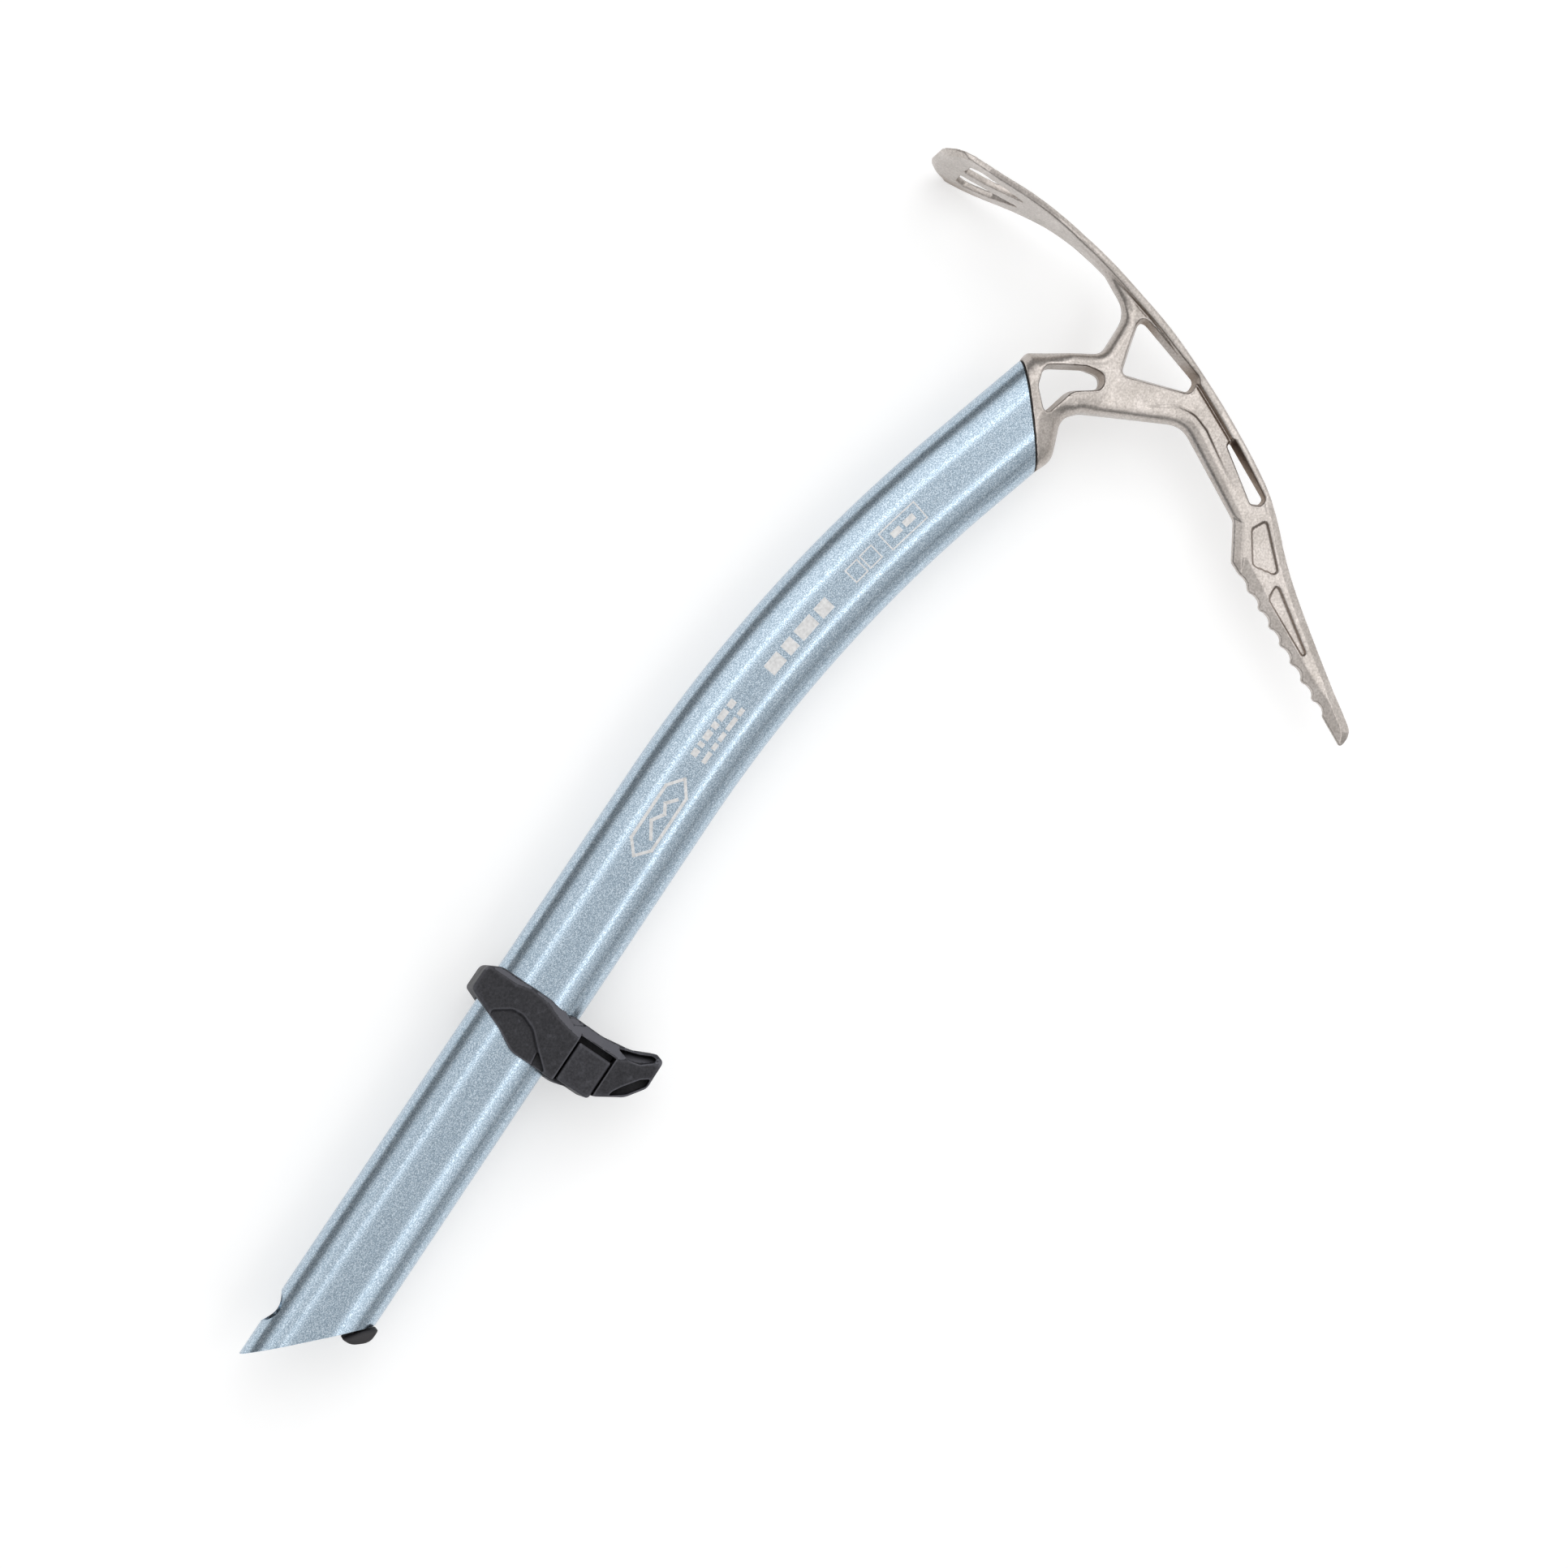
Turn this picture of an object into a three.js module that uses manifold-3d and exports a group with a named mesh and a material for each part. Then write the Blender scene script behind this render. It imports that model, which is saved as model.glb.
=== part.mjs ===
// A light ski-mountaineering ice axe: cast steel head, curved aluminium shaft, sliding hand rest.
// Working frame, in millimetres: x runs from the spike tip along the straight grip to the head, +y is the
// adze side, -y the pick side, and z = 0 is the axe's middle plane. The exported group then moves the
// whole axe so that its origin is at the bottom centre of its box.
import * as THREE from "three";
import { mergeVertices } from "three/addons/utils/BufferGeometryUtils.js";
import Module from "manifold-3d";

const wasm = await Module();
wasm.setup();

// Driving dimensions
const GRIP_STRAIGHT = 221.5;
const BEND_RADIUS = 510;
const BEND_ANGLE = THREE.MathUtils.degToRad(16);
const SHAFT_HALF_WIDTH = 15.45;
const SHAFT_HALF_THICK = 10;
const SHAFT_FLAT_Z = 9.6;
const SECTION_POWER = 2.2;
const SECTION_SIDES = 48;
const WALL = 1.3;
const LEASH_HOLE = { x: 18.2, radius: 6.1 };
const JOINT_ADZE_SIDE = [404.9, -15.8];
const JOINT_PICK_SIDE = [376.9, -40.0];
const SEAM_THICK = 0.5;
const GAP = 0.3;
const FINE_GAP = 0.1;
const TANG_LENGTH = 36;
const SLIDER_HALF_THICK = 13;
const BUTTON_TRAVEL = 1.6;
const SHOE_RATIO = 0.3;
const TOOTH_COUNT = 8;
const TOOTH_PITCH = [-2.89, -6.24];
const FIRST_TOOTH = [385.1, -119.9];
const FAR = 300;
const BEND_STEP = 12;

const STEEL = { color: 0xb3aba3, metalness: 0.9, roughness: 0.45 };
const SHAFT_BLUE = { color: 0x8fa3b5, metalness: 0.8, roughness: 0.4 };
const BLACK_NYLON = { color: 0x2b2b2e, metalness: 0, roughness: 0.7 };
const BLACK_RUBBER = { color: 0x1b1b1d, metalness: 0, roughness: 0.9 };
const SPRING_STEEL = { color: 0x9a9a9c, metalness: 1, roughness: 0.3 };
const LINER_WHITE = { color: 0xd8d6cf, metalness: 0, roughness: 0.5 };

// ---- Solids ----

function solidOf(geometry) {
  const bare = new THREE.BufferGeometry();
  bare.setAttribute("position", geometry.getAttribute("position"));
  if (geometry.index) bare.setIndex(geometry.index);
  const merged = mergeVertices(bare, 1e-4);
  return new wasm.Manifold(
    new wasm.Mesh({
      numProp: 3,
      vertProperties: new Float32Array(merged.attributes.position.array),
      triVerts: new Uint32Array(merged.index.array),
    }),
  );
}

function meshOf(name, solid, look) {
  const made = solid.getMesh();
  const geometry = new THREE.BufferGeometry();
  geometry.setAttribute("position", new THREE.BufferAttribute(made.vertProperties, 3));
  geometry.setIndex(new THREE.BufferAttribute(made.triVerts, 1));
  const flat = geometry.toNonIndexed();
  flat.computeVertexNormals();
  const mesh = new THREE.Mesh(flat, new THREE.MeshStandardMaterial(look));
  mesh.name = name;
  return mesh;
}

function unite(solids) {
  return solids.reduce((all, one) => all.add(one));
}

// A closed outline from corners [x, y, radius], with each corner rounded by an arc of its radius.
function rounded(corners, arcSteps = 5) {
  const points = [];
  corners.forEach(([x, y, radius], i) => {
    const here = new THREE.Vector2(x, y);
    const before = new THREE.Vector2(...corners.at(i - 1).slice(0, 2)).sub(here);
    const after = new THREE.Vector2(...corners[(i + 1) % corners.length].slice(0, 2)).sub(here);
    if (!radius) {
      points.push(here);
      return;
    }
    const half = Math.abs(before.angleTo(after)) / 2;
    const reach = Math.min(radius / Math.tan(half), before.length() * 0.49, after.length() * 0.49);
    const start = here.clone().addScaledVector(before.normalize(), reach);
    const end = here.clone().addScaledVector(after.normalize(), reach);
    for (let k = 0; k <= arcSteps; k++) {
      const t = k / arcSteps;
      const a = start.clone().lerp(here, t);
      const b = here.clone().lerp(end, t);
      points.push(a.lerp(b, t));
    }
  });
  return points;
}

// A straight prism of an outline between two heights, with an optional chamfer on both its ends.
function prism(points, low, high, chamfer = 0) {
  const geometry = new THREE.ExtrudeGeometry(new THREE.Shape(points), {
    depth: high - low - 2 * chamfer,
    bevelEnabled: chamfer > 0,
    bevelThickness: chamfer,
    bevelSize: chamfer,
    bevelOffset: -chamfer,
    bevelSegments: 2,
  });
  geometry.translate(0, 0, low + chamfer);
  return solidOf(geometry);
}

// A prism whose outline is given in (y, z), run along x.
function prismAlongX(points, low, high) {
  const shape = new THREE.Shape(points.map(([y, z]) => new THREE.Vector2(y, z)));
  const geometry = new THREE.ExtrudeGeometry(shape, { depth: high - low, bevelEnabled: false });
  geometry.applyMatrix4(new THREE.Matrix4().set(0, 0, 1, low, 1, 0, 0, 0, 0, 1, 0, 0, 0, 0, 0, 1));
  return solidOf(geometry);
}

function box([x0, x1], [y0, y1], [z0, z1]) {
  const geometry = new THREE.BoxGeometry(x1 - x0, y1 - y0, z1 - z0);
  geometry.translate((x0 + x1) / 2, (y0 + y1) / 2, (z0 + z1) / 2);
  return solidOf(geometry);
}

// A round bar from one point to another.
function bar(from, to, radius, sides = 24) {
  const start = new THREE.Vector3(...from);
  const run = new THREE.Vector3(...to).sub(start);
  const geometry = new THREE.CylinderGeometry(radius, radius, run.length(), sides);
  const up = new THREE.Vector3(0, 1, 0);
  geometry.applyQuaternion(new THREE.Quaternion().setFromUnitVectors(up, run.clone().normalize()));
  const middle = start.addScaledVector(run, 0.5);
  geometry.translate(middle.x, middle.y, middle.z);
  return solidOf(geometry);
}

// ---- Shaft centreline and section ----

const BEND_LENGTH = BEND_RADIUS * BEND_ANGLE;
const HEADING = new THREE.Vector2(Math.cos(BEND_ANGLE), -Math.sin(BEND_ANGLE));

function centreline(s) {
  if (s <= GRIP_STRAIGHT) return { x: s, y: 0, angle: 0 };
  const angle = Math.min((s - GRIP_STRAIGHT) / BEND_RADIUS, BEND_ANGLE);
  const beyond = Math.max(s - GRIP_STRAIGHT - BEND_LENGTH, 0);
  return {
    x: GRIP_STRAIGHT + BEND_RADIUS * Math.sin(angle) + beyond * HEADING.x,
    y: -BEND_RADIUS * (1 - Math.cos(angle)) + beyond * HEADING.y,
    angle,
  };
}

// The oval section with flattened cheeks, grown by an offset.
function section(offset = 0) {
  const points = [];
  for (let k = 0; k < SECTION_SIDES; k++) {
    const turn = (2 * Math.PI * (k + 0.5)) / SECTION_SIDES;
    const power = 2 / SECTION_POWER;
    const y = Math.sign(Math.cos(turn)) * Math.abs(Math.cos(turn)) ** power * (SHAFT_HALF_WIDTH + offset);
    const z = Math.sign(Math.sin(turn)) * Math.abs(Math.sin(turn)) ** power * (SHAFT_HALF_THICK + offset);
    const flat = SHAFT_FLAT_Z + offset;
    points.push(new THREE.Vector2(y, THREE.MathUtils.clamp(z, -flat, flat)));
  }
  return points;
}

// The section run along the centreline between two lengths, stepping only where the centreline bends.
function shaftSolid(from, to, offset = 0) {
  const bendFrom = Math.max(from, GRIP_STRAIGHT);
  const bendSteps = to > bendFrom ? Math.ceil((to - bendFrom) / BEND_STEP) : 0;
  const lead = from < GRIP_STRAIGHT ? 1 : 0;
  const geometry = new THREE.ExtrudeGeometry(new THREE.Shape(section(offset)), {
    depth: lead + bendSteps,
    steps: lead + bendSteps,
    bevelEnabled: false,
  });
  const leadEnd = Math.min(to, GRIP_STRAIGHT);
  const position = geometry.getAttribute("position");
  for (let i = 0; i < position.count; i++) {
    const step = Math.round(position.getZ(i));
    const along = (to - bendFrom) * (step - lead) / Math.max(bendSteps, 1);
    const s = step < lead ? from : lead && step === lead ? leadEnd : bendFrom + along;
    const { x, y, angle } = centreline(s);
    const across = position.getX(i);
    position.setXYZ(i, x + across * Math.sin(angle), y + across * Math.cos(angle), position.getY(i));
  }
  return solidOf(geometry);
}

// ---- Cutting planes ----

const JOINT_A = new THREE.Vector2(...JOINT_ADZE_SIDE);
const JOINT_B = new THREE.Vector2(...JOINT_PICK_SIDE);
const JOINT_RUN = JOINT_B.clone().sub(JOINT_A).normalize();
const JOINT_NORMAL = new THREE.Vector2(-JOINT_RUN.y, JOINT_RUN.x);

// Everything on the head's side of the joint plane, moved along its normal.
function headSide(shift) {
  const a = JOINT_A.clone().addScaledVector(JOINT_NORMAL, shift).addScaledVector(JOINT_RUN, -FAR);
  const b = JOINT_B.clone().addScaledVector(JOINT_NORMAL, shift).addScaledVector(JOINT_RUN, FAR);
  const c = b.clone().addScaledVector(JOINT_NORMAL, FAR);
  const d = a.clone().addScaledVector(JOINT_NORMAL, FAR);
  return prism([a, b, c, d], -40, 40);
}

// Everything behind the slanted tail cut.
function tailSide(shift) {
  const reach = 60;
  const x = (y) => SHAFT_HALF_WIDTH - y + shift;
  const points = [
    new THREE.Vector2(x(reach), reach),
    new THREE.Vector2(x(reach) - FAR, reach),
    new THREE.Vector2(x(reach) - FAR, -reach),
    new THREE.Vector2(x(-reach), -reach),
  ];
  return prism(points, -40, 40);
}

// ---- Shaft parts ----

function shaftTube() {
  const tube = shaftSolid(0, 425).subtract(shaftSolid(-1, 426, -WALL));
  const hole = bar([LEASH_HOLE.x, 5, 0], [LEASH_HOLE.x, 25, 0], LEASH_HOLE.radius);
  return tube.subtract(tailSide(0)).subtract(headSide(-SEAM_THICK - FINE_GAP)).subtract(hole);
}

function headSeam() {
  const ring = shaftSolid(340, 430, 0.1).subtract(shaftSolid(339, 431, -WALL - FINE_GAP));
  return ring.subtract(headSide(0)).intersect(headSide(-SEAM_THICK));
}

// A rubber plug with a cord channel left open above it and a round nose proud of the cut.
function tailPlug() {
  const core = shaftSolid(2, 58, -WALL - GAP).subtract(tailSide(2));
  const channel = box([-5, 70], [3.5, 20], [-20, 20]);
  const noseOutline = rounded([
    [31.0, -16.8, 0.8],
    [25.2, -16.8, 3],
    [21.6, -12.5, 3],
    [21.6, -8.2, 0.6],
    [24.3, -9.6, 0],
    [31.3, -15.9, 0.5],
  ]);
  const nose = prism(noseOutline, -6.5, 6.5);
  const neck = box([25.5, 36], [-12, -9], [-3, 3]);
  const tubeEnd = shaftSolid(0, 60, 0.2).subtract(tailSide(-GAP));
  return unite([core.subtract(channel), nose.subtract(tubeEnd), neck]);
}

// ---- Head ----

// The outer edge, from the adze's cutting edge down the spine to the pick's tip.
const SPINE = [
  [445.2, 44.3],
  [446.9, 27],
  [449.3, 11],
  [450, -3],
  [448.3, -19.5],
  [444.9, -35.3],
  [440.7, -51.3],
  [434.8, -67.2],
  [427.9, -83.2],
  [420.1, -99.4],
  [414.6, -109],
  [408, -117],
  [395, -131.8],
  [378, -155.8],
  [370.3, -167.9],
  [366.8, -173.1],
];
const spineCurve = new THREE.SplineCurve(SPINE.map(([x, y]) => new THREE.Vector2(x, y)));
const PICK_TIP = [[363.6, -174.7], [360.5, -174.4], [360, -173.6]];
const TOOTH_SHAPE = [[0, 0], [-0.35, -1.1], [-0.1, -2.2], [-0.2, -3.3], [-0.7, -4.8], [-1.7, -5.8]];

const STEM_EDGE = [
  [404.9, -15.8, 0],
  [407.6, -16.2, 2],
  [421.4, -36.9, 6],
  [437.6, -36.4, 9],
  [444.6, -22, 20],
  [448.2, -4, 0],
];
const ARM_EDGE = [
  [389.7, -110.4, 2],
  [401.3, -103.4, 3],
  [417.4, -72, 9],
  [401.3, -41.6, 6],
  [396.2, -37.4, 10],
  [383, -42.6, 8],
  [376.9, -40, 0],
];

function teethPoints() {
  const points = [];
  for (let k = 0; k < TOOTH_COUNT; k++) {
    for (const [dx, dy] of TOOTH_SHAPE) {
      points.push([FIRST_TOOTH[0] + k * TOOTH_PITCH[0] + dx, FIRST_TOOTH[1] + k * TOOTH_PITCH[1] + dy]);
    }
  }
  return points.slice(0, points.length - TOOTH_SHAPE.length + 1);
}

const NOSE_NOTCH = [[386.9, -118.6], [387.7, -116.6], [388, -114.5]];

function headOutline() {
  const spine = spineCurve.getPoints(64).slice(12);
  const teeth = teethPoints().reverse().concat(NOSE_NOTCH);
  const inner = teeth.map(([x, y]) => new THREE.Vector2(x, y));
  const arm = rounded([[388.5, -112.4, 0], ...ARM_EDGE]);
  const stem = rounded(STEM_EDGE);
  const tip = PICK_TIP.map(([x, y]) => new THREE.Vector2(x, y));
  return [...spine, ...tip, ...inner, ...arm, ...stem];
}

// Half thickness of the web, as corners of (y, z) from the pick's tip to the neck.
const WEB_HALF = [[-178, 1.2], [-165, 2.2], [-150, 2.5], [-112, 2.8], [-95, 3.6], [-62, 4.6], [-46, 5.4], [-5, 5.4]];

function webSlab() {
  const upper = WEB_HALF;
  const lower = WEB_HALF.map(([y, z]) => [y, -z]).reverse();
  return prismAlongX([...upper, ...lower], 340, 470);
}

// The collar that takes the shaft's oval and thins towards the web.
function neckWedge() {
  const start = -6;
  const end = 36;
  const along = (t, n) => JOINT_A.clone().add(JOINT_B).multiplyScalar(0.5)
    .addScaledVector(HEADING, t).addScaledVector(new THREE.Vector2(-HEADING.y, HEADING.x), n);
  const layers = [];
  const steps = 7;
  for (let k = 0; k < steps; k++) {
    const t0 = k === 0 ? start - 30 : start + ((end - start) * k) / steps;
    const t1 = start + ((end - start) * (k + 1)) / steps;
    const half = 10 - 4.2 * (k / (steps - 1));
    layers.push(prism([along(t0, -30), along(t1, -30), along(t1, 30), along(t0, 30)], -half, half));
  }
  return unite(layers).intersect(shaftSolid(350, 450));
}

// The transverse strip that is the pick's flange, the stem's back and the adze's blade in one.
const STRIP_THICK = [[0, 1.0], [0.06, 1.9], [0.3, 2.4], [0.5, 2.8], [0.8, 3]];
const STRIP_HALF = [
  [44.4, 9.5],
  [39, 22.4],
  [36, 22.5],
  [28, 20.4],
  [20, 17.2],
  [10, 13.2],
  [0, 9.6],
  [-10, 6.9],
  [-22, 6.2],
  [-80, 5.8],
  [-95, 4.6],
  [-112, 2.6],
];

function stripThickness(t) {
  const next = STRIP_THICK.findIndex(([at]) => at >= t);
  if (next < 0) return STRIP_THICK.at(-1)[1];
  if (next === 0) return STRIP_THICK[0][1];
  const [t0, a] = STRIP_THICK[next - 1];
  const [t1, b] = STRIP_THICK[next];
  return THREE.MathUtils.mapLinear(t, t0, t1, a, b);
}

function strip() {
  const outer = [];
  const inner = [];
  const steps = 44;
  const end = 0.72;
  for (let k = 0; k <= steps; k++) {
    const t = (k / steps) * end;
    const point = spineCurve.getPoint(t);
    const tangent = spineCurve.getTangent(t);
    const inward = new THREE.Vector2(tangent.y, -tangent.x);
    outer.push(point);
    inner.push(point.clone().addScaledVector(inward, stripThickness(t)));
  }
  const half = prismAlongX([...STRIP_HALF, ...STRIP_HALF.map(([y, z]) => [y, -z]).reverse()], 400, 470);
  return prism([...outer, ...inner.reverse()], -FAR / 8, FAR / 8).intersect(half);
}

const NECK_HOLE = [
  [394.8, -31.7, 0.8],
  [406.2, -22.6, 3.4],
  [417.0, -38, 3],
  [415.4, -43.2, 2.4],
  [410.6, -42.6, 2.5],
  [404.8, -33.2, 7],
];
const TRIANGLE_HOLE = [
  [419.4, -45.2, 2.5],
  [439.6, -40.1, 2.2],
  [431.6, -67.6, 2],
  [427, -67.6, 1.6],
];
const SLOT_HOLE = [
  [408.2, -105, 1.8],
  [419.6, -88.2, 1],
  [422.2, -87.4, 1.2],
  [413, -108, 2],
  [410.4, -108, 1.6],
];
const POCKETS = [
  [[402.1, -109.6, 1.4], [407.9, -112.2, 1.4], [395.4, -125.2, 1.2], [394, -124.6, 0.8], [392.4, -116.4, 1.4]],
  [[386, -127, 2.4], [393.2, -126.2, 1.6], [378.4, -148.2, 1], [376.8, -147, 0.6]],
];
const POCKET_DEPTH = 0.9;

function adzeSlots() {
  const slot = [[4.8, 11.5], [11.2, 21], [14.6, 30], [13, 33.2], [3.2, 33.6], [3, 26]];
  const shape = (side) => slot.map(([z, y]) => [y, side * z]);
  return [1, -1].map((side) => prismAlongX(shape(side), 435, 460));
}

function pockets() {
  return POCKETS.flatMap((corners) =>
    [1, -1].map((side) => {
      const floor = 2.6 - POCKET_DEPTH;
      const [low, high] = side > 0 ? [floor, 12] : [-12, -floor];
      return prism(rounded(corners), low, high);
    }),
  );
}

// Slanted cuts that thin the pick along its teeth and along its back near the tip.
function pickBevel(from, to, depthIn, edgeZ, faceZ) {
  const start = new THREE.Vector2(...from);
  const run = new THREE.Vector2(...to).sub(start);
  const length = run.length();
  const reach = 6;
  const slope = (faceZ - edgeZ) / depthIn;
  const shape = new THREE.Shape([
    new THREE.Vector2(-reach, edgeZ - slope * reach),
    new THREE.Vector2(depthIn + reach, faceZ + slope * reach),
    new THREE.Vector2(-reach, faceZ + slope * reach),
  ]);
  const geometry = new THREE.ExtrudeGeometry(shape, { depth: length, bevelEnabled: false });
  const along = new THREE.Vector3(run.x, run.y, 0).normalize();
  const up = new THREE.Vector3(0, 0, 1);
  const inward = new THREE.Vector3().crossVectors(up, along);
  geometry.applyMatrix4(new THREE.Matrix4().makeBasis(inward, up, along).setPosition(start.x, start.y, 0));
  const upper = solidOf(geometry);
  const mirrored = geometry.clone().applyMatrix4(new THREE.Matrix4().makeScale(1, 1, -1));
  const index = mirrored.getAttribute("position");
  for (let i = 0; i < index.count; i += 3) {
    const a = new THREE.Vector3().fromBufferAttribute(index, i);
    const b = new THREE.Vector3().fromBufferAttribute(index, i + 1);
    index.setXYZ(i, b.x, b.y, b.z);
    index.setXYZ(i + 1, a.x, a.y, a.z);
  }
  return [upper, solidOf(mirrored)];
}

function axeHead() {
  const outline = prism(headOutline(), -30, 30);
  const neck = neckWedge();
  const plate = webSlab().add(neck).intersect(outline).intersect(headSide(FINE_GAP));
  const tang = shaftSolid(370 - TANG_LENGTH, 424, -WALL - GAP).subtract(headSide(1.2));
  let head = unite([plate, strip()]);
  const bevels = [
    ...pickBevel([389, -111], [363.6, -164.2], 4.4, 0.7, 2.6),
    ...pickBevel([366.8, -158], [357, -178.4], 5.4, 0.4, 2.2),
    ...pickBevel([361.6, -179], [398, -127], 2.6, 1.2, 2.6),
  ];
  const holes = [NECK_HOLE, TRIANGLE_HOLE, SLOT_HOLE].map((corners) => prism(rounded(corners), -30, 30));
  for (const cut of [...bevels, ...holes, ...pockets(), ...adzeSlots()]) head = head.subtract(cut);
  const hollow = shaftSolid(360 - TANG_LENGTH, 424, -WALL - GAP - 2).subtract(headSide(4));
  return head.add(tang.subtract(hollow)).subtract(hollow);
}

// ---- Hand rest ----

const SLIDER_OUTLINE = [
  [135.9, 19.6, 1.5],
  [144.6, 19.6, 3],
  [147, 14.8, 4],
  [147, -3, 0],
  [146.4, -24, 12],
  [147.9, -34.4, 12],
  [151.3, -41.6, 1.2],
  [150.3, -44.4, 1.5],
  [140.4, -44.6, 4],
  [134.1, -40.2, 6],
  [128.7, -31.6, 12],
  [126.1, -22.5, 10],
  [126.1, -2, 8],
  [129.8, 4.6, 3],
];
const WINDOW = { x: [120, 142.7], y: [-31.2, -17.9] };
const BUTTON = { x: [127, 141], y: [-30.7, -18.5], half: 12.4 };
const SHOE_SLOT = { x: [129.4, 136.6], half: 4.4 };
const SHOE = { x: [129.8, 136.2], y: [-24, -16.6], half: 4 };
const PIN = { x: 133, y: -21.4, half: 6.6, radius: 0.95 };
const SPRING = { y: -27, x: [135.6, 142.5], coil: 1.9, wire: 0.35, turns: 5 };
const PADDLE = { y: [-30.2, -15.9], half: 8 };

function sliderBody() {
  const block = prism(rounded(SLIDER_OUTLINE), -SLIDER_HALF_THICK, SLIDER_HALF_THICK, 0.7);
  const bore = shaftSolid(100, 170, 1.1);
  const window = box(WINDOW.x, WINDOW.y, [-20, 20]);
  const shoeSlot = box(SHOE_SLOT.x, [-20, -10], [-SHOE_SLOT.half, SHOE_SLOT.half]);
  const paddleRoom = box([120, 128.9], [PADDLE.y[0] - 1, PADDLE.y[1] + 0.4], [-PADDLE.half - 0.4, PADDLE.half + 0.4]);
  const springSeat = bar([142, SPRING.y, 0], [144, SPRING.y, 0], SPRING.coil + SPRING.wire + 0.3);
  let body = block;
  for (const cut of [bore, window, shoeSlot, paddleRoom, springSeat, ...headFacets(), ...scoops()]) {
    body = body.subtract(cut);
  }
  return body;
}

// The slanted facet along the head-facing edge of both cheeks.
function headFacets() {
  const corners = [
    [143.4, SLIDER_HALF_THICK + 1],
    [160, SLIDER_HALF_THICK + 1],
    [160, 1.5],
    [148.8, 9],
  ];
  return [1, -1].map((side) => {
    const shape = corners.map(([x, z]) => new THREE.Vector2(x, side * z));
    const geometry = new THREE.ExtrudeGeometry(new THREE.Shape(shape), { depth: 80, bevelEnabled: false });
    geometry.rotateX(Math.PI / 2);
    geometry.translate(0, 30, 0);
    return solidOf(geometry);
  });
}

// The shallow round scoop in the tail-facing side of each cheek.
function scoops() {
  return [1, -1].map((side) => bar([126, 0.5, side * 12], [126, 0.5, side * 20], 11.6, 40));
}

function lockButton() {
  const block = prism(
    rounded([
      [BUTTON.x[0], BUTTON.y[0], 0.8],
      [BUTTON.x[1], BUTTON.y[0], 0.8],
      [BUTTON.x[1], BUTTON.y[1], 0.8],
      [BUTTON.x[0], BUTTON.y[1], 0.8],
    ]),
    -BUTTON.half,
    BUTTON.half,
    0.5,
  );
  const paddle = prism(
    rounded([
      [127.1, PADDLE.y[1], 0.5],
      [125.6, PADDLE.y[1], 0.5],
      [125.6, -19.5, 10],
      [128.8, PADDLE.y[0], 0.5],
      [130.5, PADDLE.y[0], 0.5],
      [127.1, -21, 8],
    ]),
    -PADDLE.half,
    PADDLE.half,
  );
  const pocketX = [SHOE.x[0] - BUTTON_TRAVEL - GAP, SHOE.x[1] + GAP];
  const pocket = box(pocketX, [SHOE.y[0] - 0.9, -17], [-SHOE_SLOT.half, SHOE_SLOT.half]);
  const springBore = bar([133.4, SPRING.y, 0], [145, SPRING.y, 0], SPRING.coil + SPRING.wire + 0.4);
  return unite([block, paddle]).subtract(pocket).subtract(springBore).subtract(pinRamp());
}

// The slanted slot that draws the pin, and with it the shoe, away from the shaft as the button is pushed.
function pinRamp() {
  const half = PIN.half + 0.8;
  const hole = (x, y) => bar([x, y, -half], [x, y, half], PIN.radius + 0.2);
  const free = hole(PIN.x - BUTTON_TRAVEL, PIN.y - BUTTON_TRAVEL * SHOE_RATIO);
  return wasm.Manifold.hull([hole(PIN.x, PIN.y), free]);
}

function brakeShoe() {
  const block = box(SHOE.x, SHOE.y, [-SHOE.half, SHOE.half]);
  return block.subtract(bar([PIN.x, PIN.y, -10], [PIN.x, PIN.y, 10], PIN.radius + 0.15));
}

function shoePin() {
  return bar([PIN.x, PIN.y, -PIN.half], [PIN.x, PIN.y, PIN.half], PIN.radius);
}

function shoePad() {
  const slab = box([130, 136], [-16.5, -10], [-3.8, 3.8]);
  return slab.subtract(shaftSolid(100, 170, 0.3));
}

function springHelix() {
  const turns = SPRING.turns;
  const length = SPRING.x[1] - SPRING.x[0];
  class Helix extends THREE.Curve {
    getPoint(t, target = new THREE.Vector3()) {
      const angle = 2 * Math.PI * turns * t;
      return target.set(
        SPRING.x[0] + length * t,
        SPRING.y + SPRING.coil * Math.cos(angle),
        SPRING.coil * Math.sin(angle),
      );
    }
  }
  const wire = new THREE.Shape(circlePoints(SPRING.wire, 6));
  return solidOf(new THREE.ExtrudeGeometry(wire, { extrudePath: new Helix(), steps: turns * 12 }));
}

function circlePoints(radius, sides) {
  const points = [];
  for (let k = 0; k < sides; k++) {
    const turn = (2 * Math.PI * k) / sides;
    points.push(new THREE.Vector2(radius * Math.cos(turn), radius * Math.sin(turn)));
  }
  return points;
}

// A thin pad lining one cheek of the collar, so the hand rest slides without rattle.
function collarLiner(side) {
  const pad = box([129, 144.5], [-6, 11], [8, 10.9]);
  const shaped = pad.subtract(shaftSolid(100, 170, 0.35)).intersect(shaftSolid(100, 170, 1.0));
  return side > 0 ? shaped : shaped.mirror([0, 0, 1]);
}

// ---- Assembly ----

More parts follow.
